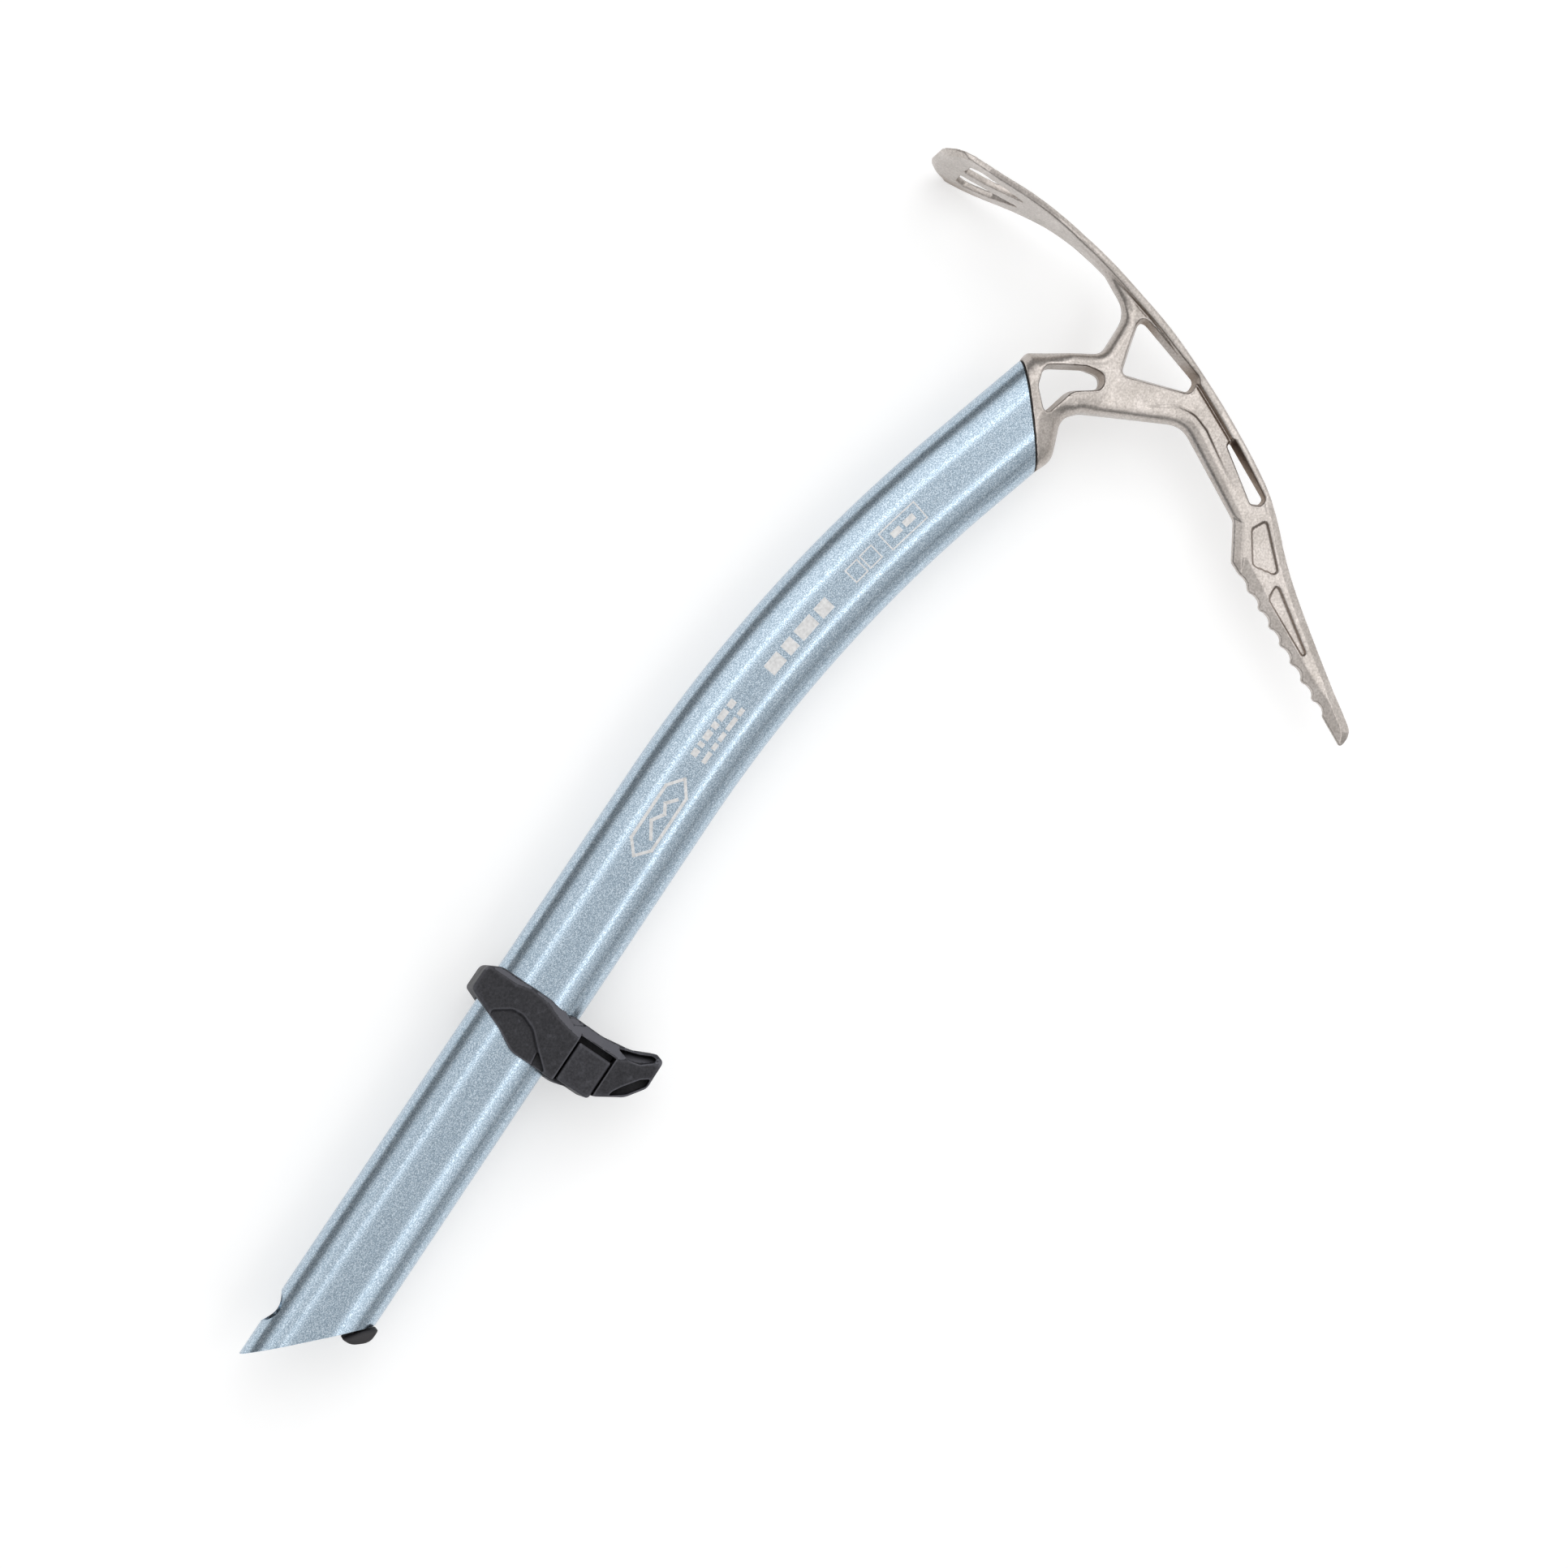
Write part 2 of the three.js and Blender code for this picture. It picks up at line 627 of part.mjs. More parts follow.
const axe = new THREE.Group();
axe.add(meshOf("shaft_tube", shaftTube(), SHAFT_BLUE));
axe.add(meshOf("axe_head", axeHead(), STEEL));
axe.add(meshOf("head_seam", headSeam(), BLACK_RUBBER));
axe.add(meshOf("tail_plug", tailPlug(), BLACK_RUBBER));
axe.add(meshOf("hand_rest", sliderBody(), BLACK_NYLON));
axe.add(meshOf("lock_button", lockButton(), BLACK_NYLON));
axe.add(meshOf("brake_shoe", brakeShoe(), BLACK_NYLON));
axe.add(meshOf("shoe_pad", shoePad(), BLACK_RUBBER));
axe.add(meshOf("shoe_pin", shoePin(), SPRING_STEEL));
axe.add(meshOf("button_spring", springHelix(), SPRING_STEEL));
axe.add(meshOf("collar_liner_front", collarLiner(1), LINER_WHITE));
axe.add(meshOf("collar_liner_rear", collarLiner(-1), LINER_WHITE));

const extent = new THREE.Box3().setFromObject(axe);
const centre = extent.getCenter(new THREE.Vector3());
axe.position.set(-centre.x, -centre.y, -extent.min.z);

const part = new THREE.Group();
part.add(axe);

export default part;
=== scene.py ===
"""Looks for the ice axe: detailed head, shaft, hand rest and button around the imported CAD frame.

Shapes are written in the working frame of the CAD part, in millimetres: x from the spike's tip along the
grip to the head, +y the adze side, z = 0 the middle plane. Most pieces are distance fields turned into
meshes, so that cast and moulded edges come out rounded.
"""

import math

import bpy
import numpy as np
from mathutils import Matrix, Vector


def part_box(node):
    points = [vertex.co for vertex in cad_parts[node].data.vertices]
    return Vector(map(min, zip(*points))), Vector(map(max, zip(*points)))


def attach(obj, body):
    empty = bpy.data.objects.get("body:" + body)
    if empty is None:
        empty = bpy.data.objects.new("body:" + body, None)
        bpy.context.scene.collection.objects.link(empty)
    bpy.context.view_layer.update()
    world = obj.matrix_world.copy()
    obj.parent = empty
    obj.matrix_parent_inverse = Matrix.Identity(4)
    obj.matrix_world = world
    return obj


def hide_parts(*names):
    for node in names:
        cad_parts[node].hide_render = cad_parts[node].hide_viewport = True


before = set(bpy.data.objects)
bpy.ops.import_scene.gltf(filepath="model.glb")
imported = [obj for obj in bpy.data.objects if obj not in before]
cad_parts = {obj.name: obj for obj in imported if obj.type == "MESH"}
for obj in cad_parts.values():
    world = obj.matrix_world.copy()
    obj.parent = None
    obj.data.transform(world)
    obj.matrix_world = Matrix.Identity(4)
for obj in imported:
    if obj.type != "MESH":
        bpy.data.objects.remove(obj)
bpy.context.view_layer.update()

# Working frame to row frame, in millimetres; the adze's tip is the head's furthest point in y
ADZE_TIP_Y = 44.3
HEAD_LOW, HEAD_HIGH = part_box("axe_head")
SHIFT = np.array([
    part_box("shaft_tube")[0].x * 1000,
    HEAD_HIGH.y * 1000 - ADZE_TIP_Y,
    (HEAD_LOW.z + HEAD_HIGH.z) * 500,
])


def place(x, y, z):
    """A point of the working frame, in metres in the row frame."""
    return Vector((np.array([x, y, z]) + SHIFT) / 1000)


# ---- Distance fields ----

def polygon_distance(points, u, v):
    """Signed distance to a closed polygon, negative inside."""
    nearest = np.full(u.shape, 1e9, np.float32)
    inside = np.zeros(u.shape, bool)
    for (ax, ay), (bx, by) in zip(points, points[1:] + points[:1]):
        ex, ey = bx - ax, by - ay
        wx, wy = u - ax, v - ay
        t = np.clip((wx * ex + wy * ey) / max(ex * ex + ey * ey, 1e-9), 0, 1)
        nearest = np.minimum(nearest, (wx - ex * t) ** 2 + (wy - ey * t) ** 2)
        if ay != by:
            inside ^= ((ay > v) != (by > v)) & (u < ex * (v - ay) / (by - ay) + ax)
    distance = np.sqrt(nearest)
    return np.where(inside, -distance, distance)


def line_distance(points, u, v):
    """Distance to an open polyline."""
    nearest = np.full(u.shape, 1e9, np.float32)
    for (ax, ay), (bx, by) in zip(points, points[1:]):
        ex, ey = bx - ax, by - ay
        t = np.clip(((u - ax) * ex + (v - ay) * ey) / (ex * ex + ey * ey), 0, 1)
        nearest = np.minimum(nearest, (u - ax - ex * t) ** 2 + (v - ay - ey * t) ** 2)
    return np.sqrt(nearest)


def both(a, b, radius):
    """What is inside a and b, with the edge between them rounded to a radius."""
    a, b = a + radius, b + radius
    return np.minimum(np.maximum(a, b), 0) + np.hypot(np.maximum(a, 0), np.maximum(b, 0)) - radius


def blend_min(a, b, radius):
    """The union of a and b, with a fillet of about that radius."""
    h = np.clip(0.5 + 0.5 * (b - a) / radius, 0, 1)
    return b + (a - b) * h - radius * h * (1 - h)


def blend_max(a, b, radius):
    """What is inside a and b, with the edge between them softened over about that radius."""
    return -blend_min(-a, -b, radius)


def ramp(value, start, end):
    """A smooth rise from 0 to 1 between start and end."""
    t = np.clip((value - start) / (end - start), 0, 1)
    return t * t * (3 - 2 * t)


def rounded(corners, steps=6):
    """A closed outline from corners (x, y, radius)."""
    points = []
    for i, (x, y, radius) in enumerate(corners):
        here = np.array([x, y], float)
        before = np.array(corners[i - 1][:2], float) - here
        after = np.array(corners[(i + 1) % len(corners)][:2], float) - here
        if not radius:
            points.append((x, y))
            continue
        lengths = np.linalg.norm(before), np.linalg.norm(after)
        cosine = before @ after / (lengths[0] * lengths[1])
        half = math.acos(max(-1, min(1, cosine))) / 2
        reach = min(radius / math.tan(half), lengths[0] * 0.49, lengths[1] * 0.49)
        start = here + before / lengths[0] * reach
        end = here + after / lengths[1] * reach
        for k in range(steps + 1):
            t = k / steps
            points.append(tuple((1 - t) ** 2 * start + 2 * t * (1 - t) * here + t * t * end))
    return points


def smooth_curve(points, steps):
    """Catmull-Rom curve through points."""
    p = np.array([points[0]] + list(points) + [points[-1]], float)
    made = []
    for i in range(1, len(p) - 2):
        for k in range(steps):
            t = k / steps
            a, b, c, d = p[i - 1], p[i], p[i + 1], p[i + 2]
            made.append(tuple(0.5 * (2 * b + (c - a) * t + (2 * a - 5 * b + 4 * c - d) * t * t
                                     + (3 * b - a - 3 * c + d) * t ** 3)))
    made.append(tuple(p[-2]))
    return made


# ---- Meshes from fields ----

CELL_CORNERS = [(i, j, k) for i in (0, 1) for j in (0, 1) for k in (0, 1)]
UNIT = np.eye(3, dtype=int)
SNAP_ROUNDS = 3
SNAP_LIMIT = 0.4


def surface_of(field, low, step):
    """Vertices and quads of the zero surface of a field, by surface nets."""
    nx, ny, nz = (n - 1 for n in field.shape)
    inside = field < 0
    count = np.zeros((nx, ny, nz), np.int8)
    for i, j, k in CELL_CORNERS:
        count += inside[i:i + nx, j:j + ny, k:k + nz]
    active = (count > 0) & (count < len(CELL_CORNERS))
    index = np.full(active.shape, -1, np.int32)
    index[active] = np.arange(active.sum())
    cell = np.argwhere(active)
    total = np.zeros((len(cell), 3))
    crossings = np.zeros(len(cell))
    for axis in range(3):
        for first in (0, 1):
            for second in (0, 1):
                offset = np.insert([first, second], axis, 0)
                a = field[tuple((cell + offset).T)]
                b = field[tuple((cell + offset + UNIT[axis]).T)]
                cut = (a < 0) != (b < 0)
                t = np.where(cut, a / np.where(cut, a - b, 1), 0)
                point = np.repeat(offset[None, :].astype(float), len(cell), 0)
                point[:, axis] = t
                total += point * cut[:, None]
                crossings += cut
    verts = cell + total / crossings[:, None]
    quads = []
    for axis in range(3):
        one, two = [a for a in range(3) if a != axis]
        body = [slice(1, n) for n in (nx, ny, nz)]
        body[axis] = slice(0, (nx, ny, nz)[axis])
        here = inside[tuple(body)]
        ahead = list(body)
        ahead[axis] = slice(1, (nx, ny, nz)[axis] + 1)
        there = inside[tuple(ahead)]
        for flips, order in ((here & ~there, 1), (~here & there, -1)):
            at = np.argwhere(flips)
            at[:, one] += 1
            at[:, two] += 1
            ring = [at - UNIT[one] - UNIT[two], at - UNIT[two], at, at - UNIT[one]]
            quad = np.stack([index[tuple(r.T)] for r in ring], 1)
            turn = order * (-1 if axis == 1 else 1)
            quads.append(quad if turn > 0 else quad[:, ::-1])
    return np.array(low) + verts * step, np.concatenate(quads)


def sample(field, where):
    """Trilinear value of a field at fractional grid positions."""
    base = np.clip(np.floor(where).astype(int), 0, np.array(field.shape) - 2)
    part = where - base
    value = np.zeros(len(where))
    for i, j, k in CELL_CORNERS:
        weight = (np.where(i, part[:, 0], 1 - part[:, 0]) * np.where(j, part[:, 1], 1 - part[:, 1])
                  * np.where(k, part[:, 2], 1 - part[:, 2]))
        value += weight * field[tuple((base + [i, j, k]).T)]
    return value


def gradient(field, where):
    made = np.zeros((len(where), 3))
    for axis in range(3):
        reach = UNIT[axis] * 0.5
        made[:, axis] = sample(field, where + reach) - sample(field, where - reach)
    return made


def carve(name, function, low, high, step, mirror=True):
    """A smooth mesh object from a field function(x, y, z), its points snapped onto the zero surface.

    With mirror, the field is computed for z >= 0 only.
    """
    counts = [int(math.ceil((h - l) / step)) + 1 for l, h in zip(low, high)]
    if mirror:
        counts[2] = int(math.ceil(high[2] / step)) + 1
    x = (low[0] + step * np.arange(counts[0], dtype=np.float32))[:, None, None]
    y = (low[1] + step * np.arange(counts[1], dtype=np.float32))[None, :, None]
    z = (0 if mirror else low[2]) + step * np.arange(counts[2], dtype=np.float32)[None, None, :]
    field = function(x, y, z).astype(np.float32)
    origin = [low[0], low[1], low[2]]
    if mirror:
        field = np.concatenate([field[:, :, :0:-1], field], 2)
        origin[2] = -step * (counts[2] - 1)
    verts, quads = surface_of(field, origin, step)
    for _ in range(SNAP_ROUNDS):
        where = (verts - origin) / step
        slope = gradient(field, where)
        size = np.maximum((slope ** 2).sum(1), 1e-4)
        move = (sample(field, where) / size)[:, None] * slope
        verts = verts - np.clip(move, -SNAP_LIMIT, SNAP_LIMIT) * step
    slope = gradient(field, (verts - origin) / step)
    normals = slope / np.maximum(np.linalg.norm(slope, axis=1), 1e-6)[:, None]
    return mesh_object(name, verts, quads, normals)


def mesh_object(name, verts, faces, normals=None):
    """A smooth mesh object from working-frame vertices."""
    mesh = bpy.data.meshes.new(name)
    mesh.from_pydata(((np.array(verts) + SHIFT) / 1000).tolist(), [], np.array(faces).tolist())
    mesh.validate()
    mesh.shade_smooth()
    if normals is not None and len(normals) == len(mesh.vertices):
        mesh.normals_split_custom_set_from_vertices(normals.tolist())
    return linked(name, mesh)


def linked(name, data):
    """A new object in the scene."""
    thing = bpy.data.objects.new(name, data)
    bpy.context.scene.collection.objects.link(thing)
    return thing


# ---- Shaft ----

GRIP_STRAIGHT = 221.5
BEND_RADIUS = 510
BEND_ANGLE = math.radians(16)
HALF_WIDTH = 15.45
HALF_THICK = 10
# The oval's power, the height of its flattened cheeks, and how softly the two meet
POWER = 2.2
FLAT_Z = 9.6
SOFT = 0.45
WALL = 1.3
RIM_ROUND = 0.15
HEADING = np.array([math.cos(BEND_ANGLE), -math.sin(BEND_ANGLE)])
# The slanted joint with the head, and the gap that the sealant fills
JOINT_A = np.array([404.9, -15.8])
JOINT_B = np.array([376.9, -40.0])
JOINT_RUN = (JOINT_B - JOINT_A) / np.linalg.norm(JOINT_B - JOINT_A)
JOINT_NORMAL = np.array([-JOINT_RUN[1], JOINT_RUN[0]])
SEAM = 0.42
SEAM_SUNK = 0.12
LEASH_HOLE_X = 18.2
LEASH_HOLE_RADIUS = 6.1
SHAFT_SIDES, SHAFT_RINGS = 200, 130
SEAM_SIDES, SEAM_RINGS = 120, 3


def centreline(s):
    """Points and heading angles along the shaft's centreline."""
    angle = np.clip((s - GRIP_STRAIGHT) / BEND_RADIUS, 0, BEND_ANGLE)
    beyond = np.maximum(s - GRIP_STRAIGHT - BEND_RADIUS * BEND_ANGLE, 0)
    x = np.minimum(s, GRIP_STRAIGHT) + BEND_RADIUS * np.sin(angle) + beyond * HEADING[0]
    y = -BEND_RADIUS * (1 - np.cos(angle)) + beyond * HEADING[1]
    return x, y, angle


def section(sides, offset=0.0):
    """Closed section (across, up): an oval with flattened cheeks, its points crowded at the cheeks' edges."""
    turn = 2 * np.pi * (np.arange(sides) + 0.5) / sides
    c, s = np.cos(turn), np.sin(turn)
    across = np.sign(c) * np.abs(c) ** (2 / POWER) * (HALF_WIDTH + offset)
    up = np.sign(s) * np.abs(s) ** (2 / POWER) * (HALF_THICK + offset)
    flat = FLAT_Z + offset
    over = np.abs(up) - flat
    capped = flat + np.where(over > SOFT, 0, np.where(over < -SOFT, over, -(over - SOFT) ** 2 / (4 * SOFT)))
    return across, np.sign(up) * capped


def tail_start(across):
    """Where each line of the shaft meets the slanted tail cut."""
    return HALF_WIDTH - across


def joint_end(across, shift):
    """Where each line of the shaft meets the joint plane, moved along its normal."""
    low, high = np.full(across.shape, 330.0), np.full(across.shape, 450.0)
    for _ in range(40):
        s = (low + high) / 2
        x, y, angle = centreline(s)
        past = ((x + across * np.sin(angle) - JOINT_A[0]) * JOINT_NORMAL[0]
                + (y + across * np.cos(angle) - JOINT_A[1]) * JOINT_NORMAL[1]) - shift
        low, high = np.where(past < 0, s, low), np.where(past < 0, high, s)
    return (low + high) / 2


def swept(starts, ends, across, up, stops):
    """Rings of points between two cuts, at fractions of the run."""
    rings = []
    for t in stops:
        s = starts + (ends - starts) * t
        x, y, angle = centreline(s)
        rings.append(np.stack([x + across * np.sin(angle), y + across * np.cos(angle), up], 1))
    return rings


def tube(name, start_of, end_of, sides, steps, outer, inner, soft):
    """A closed tube: outer skin, rim, inner skin, rim, with softened rims."""
    stops = np.linspace(0, 1, steps)
    rings = []
    for offset, order in ((outer, 1), (inner, -1)):
        across, up = section(sides, offset)
        a, b = start_of(across), end_of(across)
        rings += swept(a + soft, b - soft, across, up, stops)[::order]
        if order == 1:
            across, up = section(sides, outer - soft)
            rings += swept(start_of(across), end_of(across), across, up, [1])
    across, up = section(sides, inner + soft)
    rings += swept(start_of(across), end_of(across), across, up, [0])
    across, up = section(sides, outer - soft)
    rings.insert(0, swept(start_of(across), end_of(across), across, up, [0])[0])
    across, up = section(sides, inner + soft)
    rings.insert(steps + 2, swept(start_of(across), end_of(across), across, up, [1])[0])
    verts = np.concatenate(rings)
    faces = []
    n = len(rings)
    for r in range(n):
        for k in range(sides):
            m = (k + 1) % sides
            after = (r + 1) % n
            faces.append((r * sides + k, r * sides + m, after * sides + m, after * sides + k))
    return mesh_object(name, verts, faces)


def cut_away(thing, cutter):
    """Boolean difference, applied; the cutter is removed."""
    change = thing.modifiers.new("cut", "BOOLEAN")
    change.object = cutter
    change.solver = "EXACT"
    apply_modifiers(thing)
    bpy.data.objects.remove(cutter)


def apply_modifiers(thing):
    graph = bpy.context.evaluated_depsgraph_get()
    made = bpy.data.meshes.new_from_object(thing.evaluated_get(graph))
    thing.modifiers.clear()
    thing.data = made


def rod(name, start, end, radius, sides=64):
    """A plain round cutter."""
    run = Vector(end) - Vector(start)
    turn = run.to_track_quat("Z", "Y").to_matrix()
    verts = []
    for along in (0, 1):
        for k in range(sides):
            a = 2 * math.pi * k / sides
            verts.append(tuple(Vector(start) + run * along
                               + turn @ Vector((radius * math.cos(a), radius * math.sin(a), 0))))
    faces = [(k, (k + 1) % sides, sides + (k + 1) % sides, sides + k) for k in range(sides)]
    mesh = bpy.data.meshes.new(name)
    shifted = ((np.array(verts) + SHIFT) / 1000).tolist()
    mesh.from_pydata(shifted, [], faces + [tuple(range(sides))[::-1], tuple(range(sides, 2 * sides))])
    return linked(name, mesh)


def make_shaft():
    shaft = tube("shaft", tail_start, lambda across: joint_end(across, -SEAM), SHAFT_SIDES, SHAFT_RINGS,
                 0.0, -WALL, RIM_ROUND)
    cut_away(shaft, rod("leash_cut", (LEASH_HOLE_X, 5, 0), (LEASH_HOLE_X, 25, 0), LEASH_HOLE_RADIUS))
    shaft.data.shade_smooth()
    shaft.data.set_sharp_from_angle(angle=math.radians(35))
    return shaft


def make_seam():
    """The dark sealant that fills the joint, a little below the skins beside it."""
    return tube("joint_seam", lambda across: joint_end(across, -SEAM + 0.05),
                lambda across: joint_end(across, -0.02), SEAM_SIDES, SEAM_RINGS, -SEAM_SUNK, -WALL, 0.05)


# The marks, as strokes along the shaft's centreline: (distance along, distance across), and a width.
# They are all generic: a lozenge with a zigzag, two rows of bars, four blocks, and three boxes.
LOZENGE = [(199.5, 0), (204, 3.9), (224, 3.9), (229, 0), (224, -3.9), (204, -3.9), (199.5, 0)]
ZIGZAG = [(207, -1.6), (212, 1.6), (216, -0.9), (219, 0.9), (222, -1.6)]
# Start, place across, height, gap between bars, and the bars' lengths
BAR_ROWS = [
    (236.5, 2.2, 2.2, 1.1, (2.6, 1.6, 3.4, 2.2, 4.0, 2.8)),
    (236.5, -1.8, 1.6, 1.1, (4.2, 2.4, 3.2, 5.0, 2.6)),
    (273, -0.6, 4.6, 2.0, (6.4, 4.4, 7.6, 5.4)),
    (332.3, 0, 2.2, 1.4, (4.0, 4.5)),
]
# Start, end, half height
BOXES = [(313.5, 318.7, 2.6), (320.1, 325.3, 2.6), (329.5, 345, 3.4)]
BOX_LINE = 0.45
MARK_STEP = 1.5
# From below the shaft's skin to just above it
MARK_LIFTS = (-0.15, 0.035)


def mark_strokes():
    strokes = [(LOZENGE, 1.0), (ZIGZAG, 1.1)]
    for at, row, height, gap, lengths in BAR_ROWS:
        for length in lengths:
            strokes.append(([(at, row), (at + length, row)], height))
            at += length + gap
    for start, end, half in BOXES:
        box = [(start, -half), (end, -half), (end, half), (start, half), (start, -half)]
        strokes.append((box, BOX_LINE))
    return strokes


def make_marks():
    """Thin printed strokes on the shaft's flat."""
    verts, faces = [], []
    for path, width in mark_strokes():
        for (s0, a0), (s1, a1) in zip(path, path[1:]):
            length = math.hypot(s1 - s0, a1 - a0)
            ds, da = (s1 - s0) / length, (a1 - a0) / length
            steps = max(1, int(length / MARK_STEP))
            extend = width / 2 if len(path) > 2 else 0
            first = len(verts)
            for k in range(steps + 1):
                t = -extend + (length + 2 * extend) * k / steps
                for side in (-1, 1):
                    s = s0 + ds * t - da * side * width / 2
                    a = a0 + da * t + ds * side * width / 2
                    x, y, angle = (float(value) for value in centreline(np.array(s)))
                    skin = flat_height(a)
                    for lift in MARK_LIFTS:
                        verts.append((x + a * math.sin(angle), y + a * math.cos(angle), skin + lift))
            for k in range(steps):
                b = first + 4 * k
                faces += [(b + 1, b + 5, b + 7, b + 3), (b, b + 2, b + 6, b + 4), (b, b + 4, b + 5, b + 1),
                          (b + 2, b + 3, b + 7, b + 6)]
            b = first + 4 * steps
            faces += [(first, first + 1, first + 3, first + 2), (b, b + 2, b + 3, b + 1)]
    thing = mesh_object("shaft_marks", verts, faces)
    thing.data.set_sharp_from_angle(angle=math.radians(30))
    return thing


def flat_height(across):
    """Height of the shaft's skin near its flat."""
    up = HALF_THICK * (1 - min(1, abs(across) / HALF_WIDTH) ** POWER) ** (1 / POWER)
    over = up - FLAT_Z
    return FLAT_Z + (0 if over > SOFT else over if over < -SOFT else -(over - SOFT) ** 2 / (4 * SOFT))


# ---- Head ----

# The outer edge seen from the side, from the adze's tip to the pick's
SPINE = [
    (445.2, 44.3), (446.9, 27), (449.25, 11), (449.93, -3), (448.3, -19.5), (444.9, -35.3), (440.7, -51.3),
    (434.8, -67.2), (427.9, -83.2), (420.1, -99.4), (414.6, -109), (408, -117), (395, -131.8),
    (378, -155.8), (370.3, -167.9), (366.8, -173.1),
]
PICK_END = [(365.6, -174.1), (363.8, -174.6), (362, -174.6), (360.5, -174.3), (360.0, -173.6)]
# The edges below the adze and on the arm from the joint to the nose, as corners (x, y, radius)
STEM_EDGE = [
    (404.9, -15.8, 0), (407.6, -16.2, 2), (421.4, -36.9, 6), (437.6, -36.4, 9), (444.6, -22, 20),
    (448.2, -4, 0),
]
ARM_EDGE = [
    (389.7, -110.4, 2), (401.3, -103.4, 4), (417.4, -72, 9), (401.3, -41.6, 6), (396.2, -37.4, 10),
    (383, -42.6, 8), (376.9, -40, 0),
]
# The nose above the first tooth, and one tooth, which repeats by the pitch
NOSE = [(386.9, -118.6), (387.7, -116.6), (388, -114.5), (388.6, -112.4)]
TOOTH = [(0, 0), (-0.35, -1.1), (-0.1, -2.2), (-0.2, -3.3), (-0.7, -4.8), (-1.7, -5.8)]
FIRST_TOOTH = (385.1, -119.9)
TOOTH_PITCH = (-2.89, -6.24)
TOOTH_COUNT = 8
# The flange and the blade end at this height on the pick
STRIP_END = -142

# Openings and recesses, as corners (x, y, radius)
NECK_HOLE = [
    (394.2, -31.5, 1.2), (400.0, -25.4, 3.0), (406.4, -23.4, 3.4), (413.8, -35, 4), (415.2, -40.6, 3),
    (411.2, -42.4, 3), (405.2, -34.2, 7),
]
TRIANGLE_HOLE = [(420.1, -46.0, 1.8), (438.6, -41.0, 2.2), (431.4, -67.3, 2.2), (427.6, -67.3, 1.6)]
SLOT_HOLE = [
    (409.3, -105.0, 1.0), (420.6, -88.2, 1.0), (421.8, -88.3, 0.8), (412.6, -107.6, 1.2),
    (410.6, -107.4, 1.0),
]
POCKETS = [
    [(402.2, -109.6, 1.6), (407.6, -112.2, 1.5), (395.6, -124.8, 1.2), (394, -124.2, 1), (392.4, -116.6, 2)],
    [(386.3, -127, 2.2), (392.6, -126.4, 2.2), (378.5, -147.6, 0.9), (377.1, -146.8, 0.8)],
]
ARM_RECESS = [
    (409.5, -98, 0), (413.9, -89.5, 6), (420, -79.2, 6), (422, -73, 8), (420.6, -66, 8), (413, -56, 0),
    (440, -52, 0), (446, -64, 0), (421.4, -99, 0),
]
STEM_RECESS = [
    (445.8, -10, 3), (441.0, -28.0, 10), (432.6, -44.6, 6), (444, -50, 0), (452, -38.4, 0), (452, -10, 0),
]
# Flange and adze seen along the grip, as (y, z); the adze's sharpened edge; and its slot
BLADE = [
    (44.3, -30), (44.3, 8.5), (43.5, 13), (41.2, 18.6), (38.4, 21.6), (34.5, 22.4), (28, 20.8), (20, 17.6),
    (10, 13.4), (0, 9.6), (-10, 6.9), (-22, 6.2), (-80, 5.8), (-95, 4.6), (-110, 2.7), (-121, 1.4),
    (-124, -30),
]
BLADE_EDGE = [(44.3, 0), (44.3, 8.5), (43.5, 13), (41.2, 18.6), (38.4, 21.6)]
ADZE_SLOT = [(11.5, 4.8), (21, 11.2), (30, 14.6), (33.2, 13), (33.6, 3.2), (26, 3)]


def head_outline():
    """The plate seen from the side, with its end inside the shaft."""
    spine = smooth_curve(SPINE, 6)
    spine = [p for p in spine if p[1] < -3]
    teeth = [(FIRST_TOOTH[0] + k * TOOTH_PITCH[0] + dx, FIRST_TOOTH[1] + k * TOOTH_PITCH[1] + dy)
             for k in range(TOOTH_COUNT) for dx, dy in TOOTH]
    teeth = teeth[:-len(TOOTH) + 1][::-1]
    back = 20 * HEADING
    below = [(JOINT_B[0] - back[0], JOINT_B[1] - back[1])]
    above = [(JOINT_A[0] - back[0], JOINT_A[1] - back[1])]
    arm = rounded([(*NOSE[-1], 0)] + ARM_EDGE)[1:]
    return spine + PICK_END + teeth + NOSE[:-1] + arm + below + above + rounded(STEM_EDGE)


def strip_outline():
    """The flange and adze blade seen from the side: a strip inside the outer edge."""
    spine = np.array(smooth_curve(SPINE, 8))
    spine = spine[spine[:, 1] > STRIP_END]
    along = np.gradient(spine, axis=0)
    along /= np.linalg.norm(along, axis=1)[:, None]
    inward = np.stack([along[:, 1], -along[:, 0]], 1)
    thick = np.interp(spine[:, 1], [STRIP_END, -40, 10, 30, 44.3], [3.0, 3.0, 2.4, 2.1, 1.9])
    inner = spine + inward * thick[:, None]
    return [tuple(p) for p in spine] + [tuple(p) for p in inner[::-1]]


def spine_x(y):
    """The outer edge's x at a height y."""
    curve = np.array(smooth_curve(SPINE, 8))[::-1]
    return np.interp(y, curve[:, 1], curve[:, 0])


def inside_by(corners, u, v, start, end):
    """A factor that rises from 0 to 1 as a point goes into a shape with rounded corners."""
    return ramp(-polygon_distance(rounded(corners), u, v), start, end)


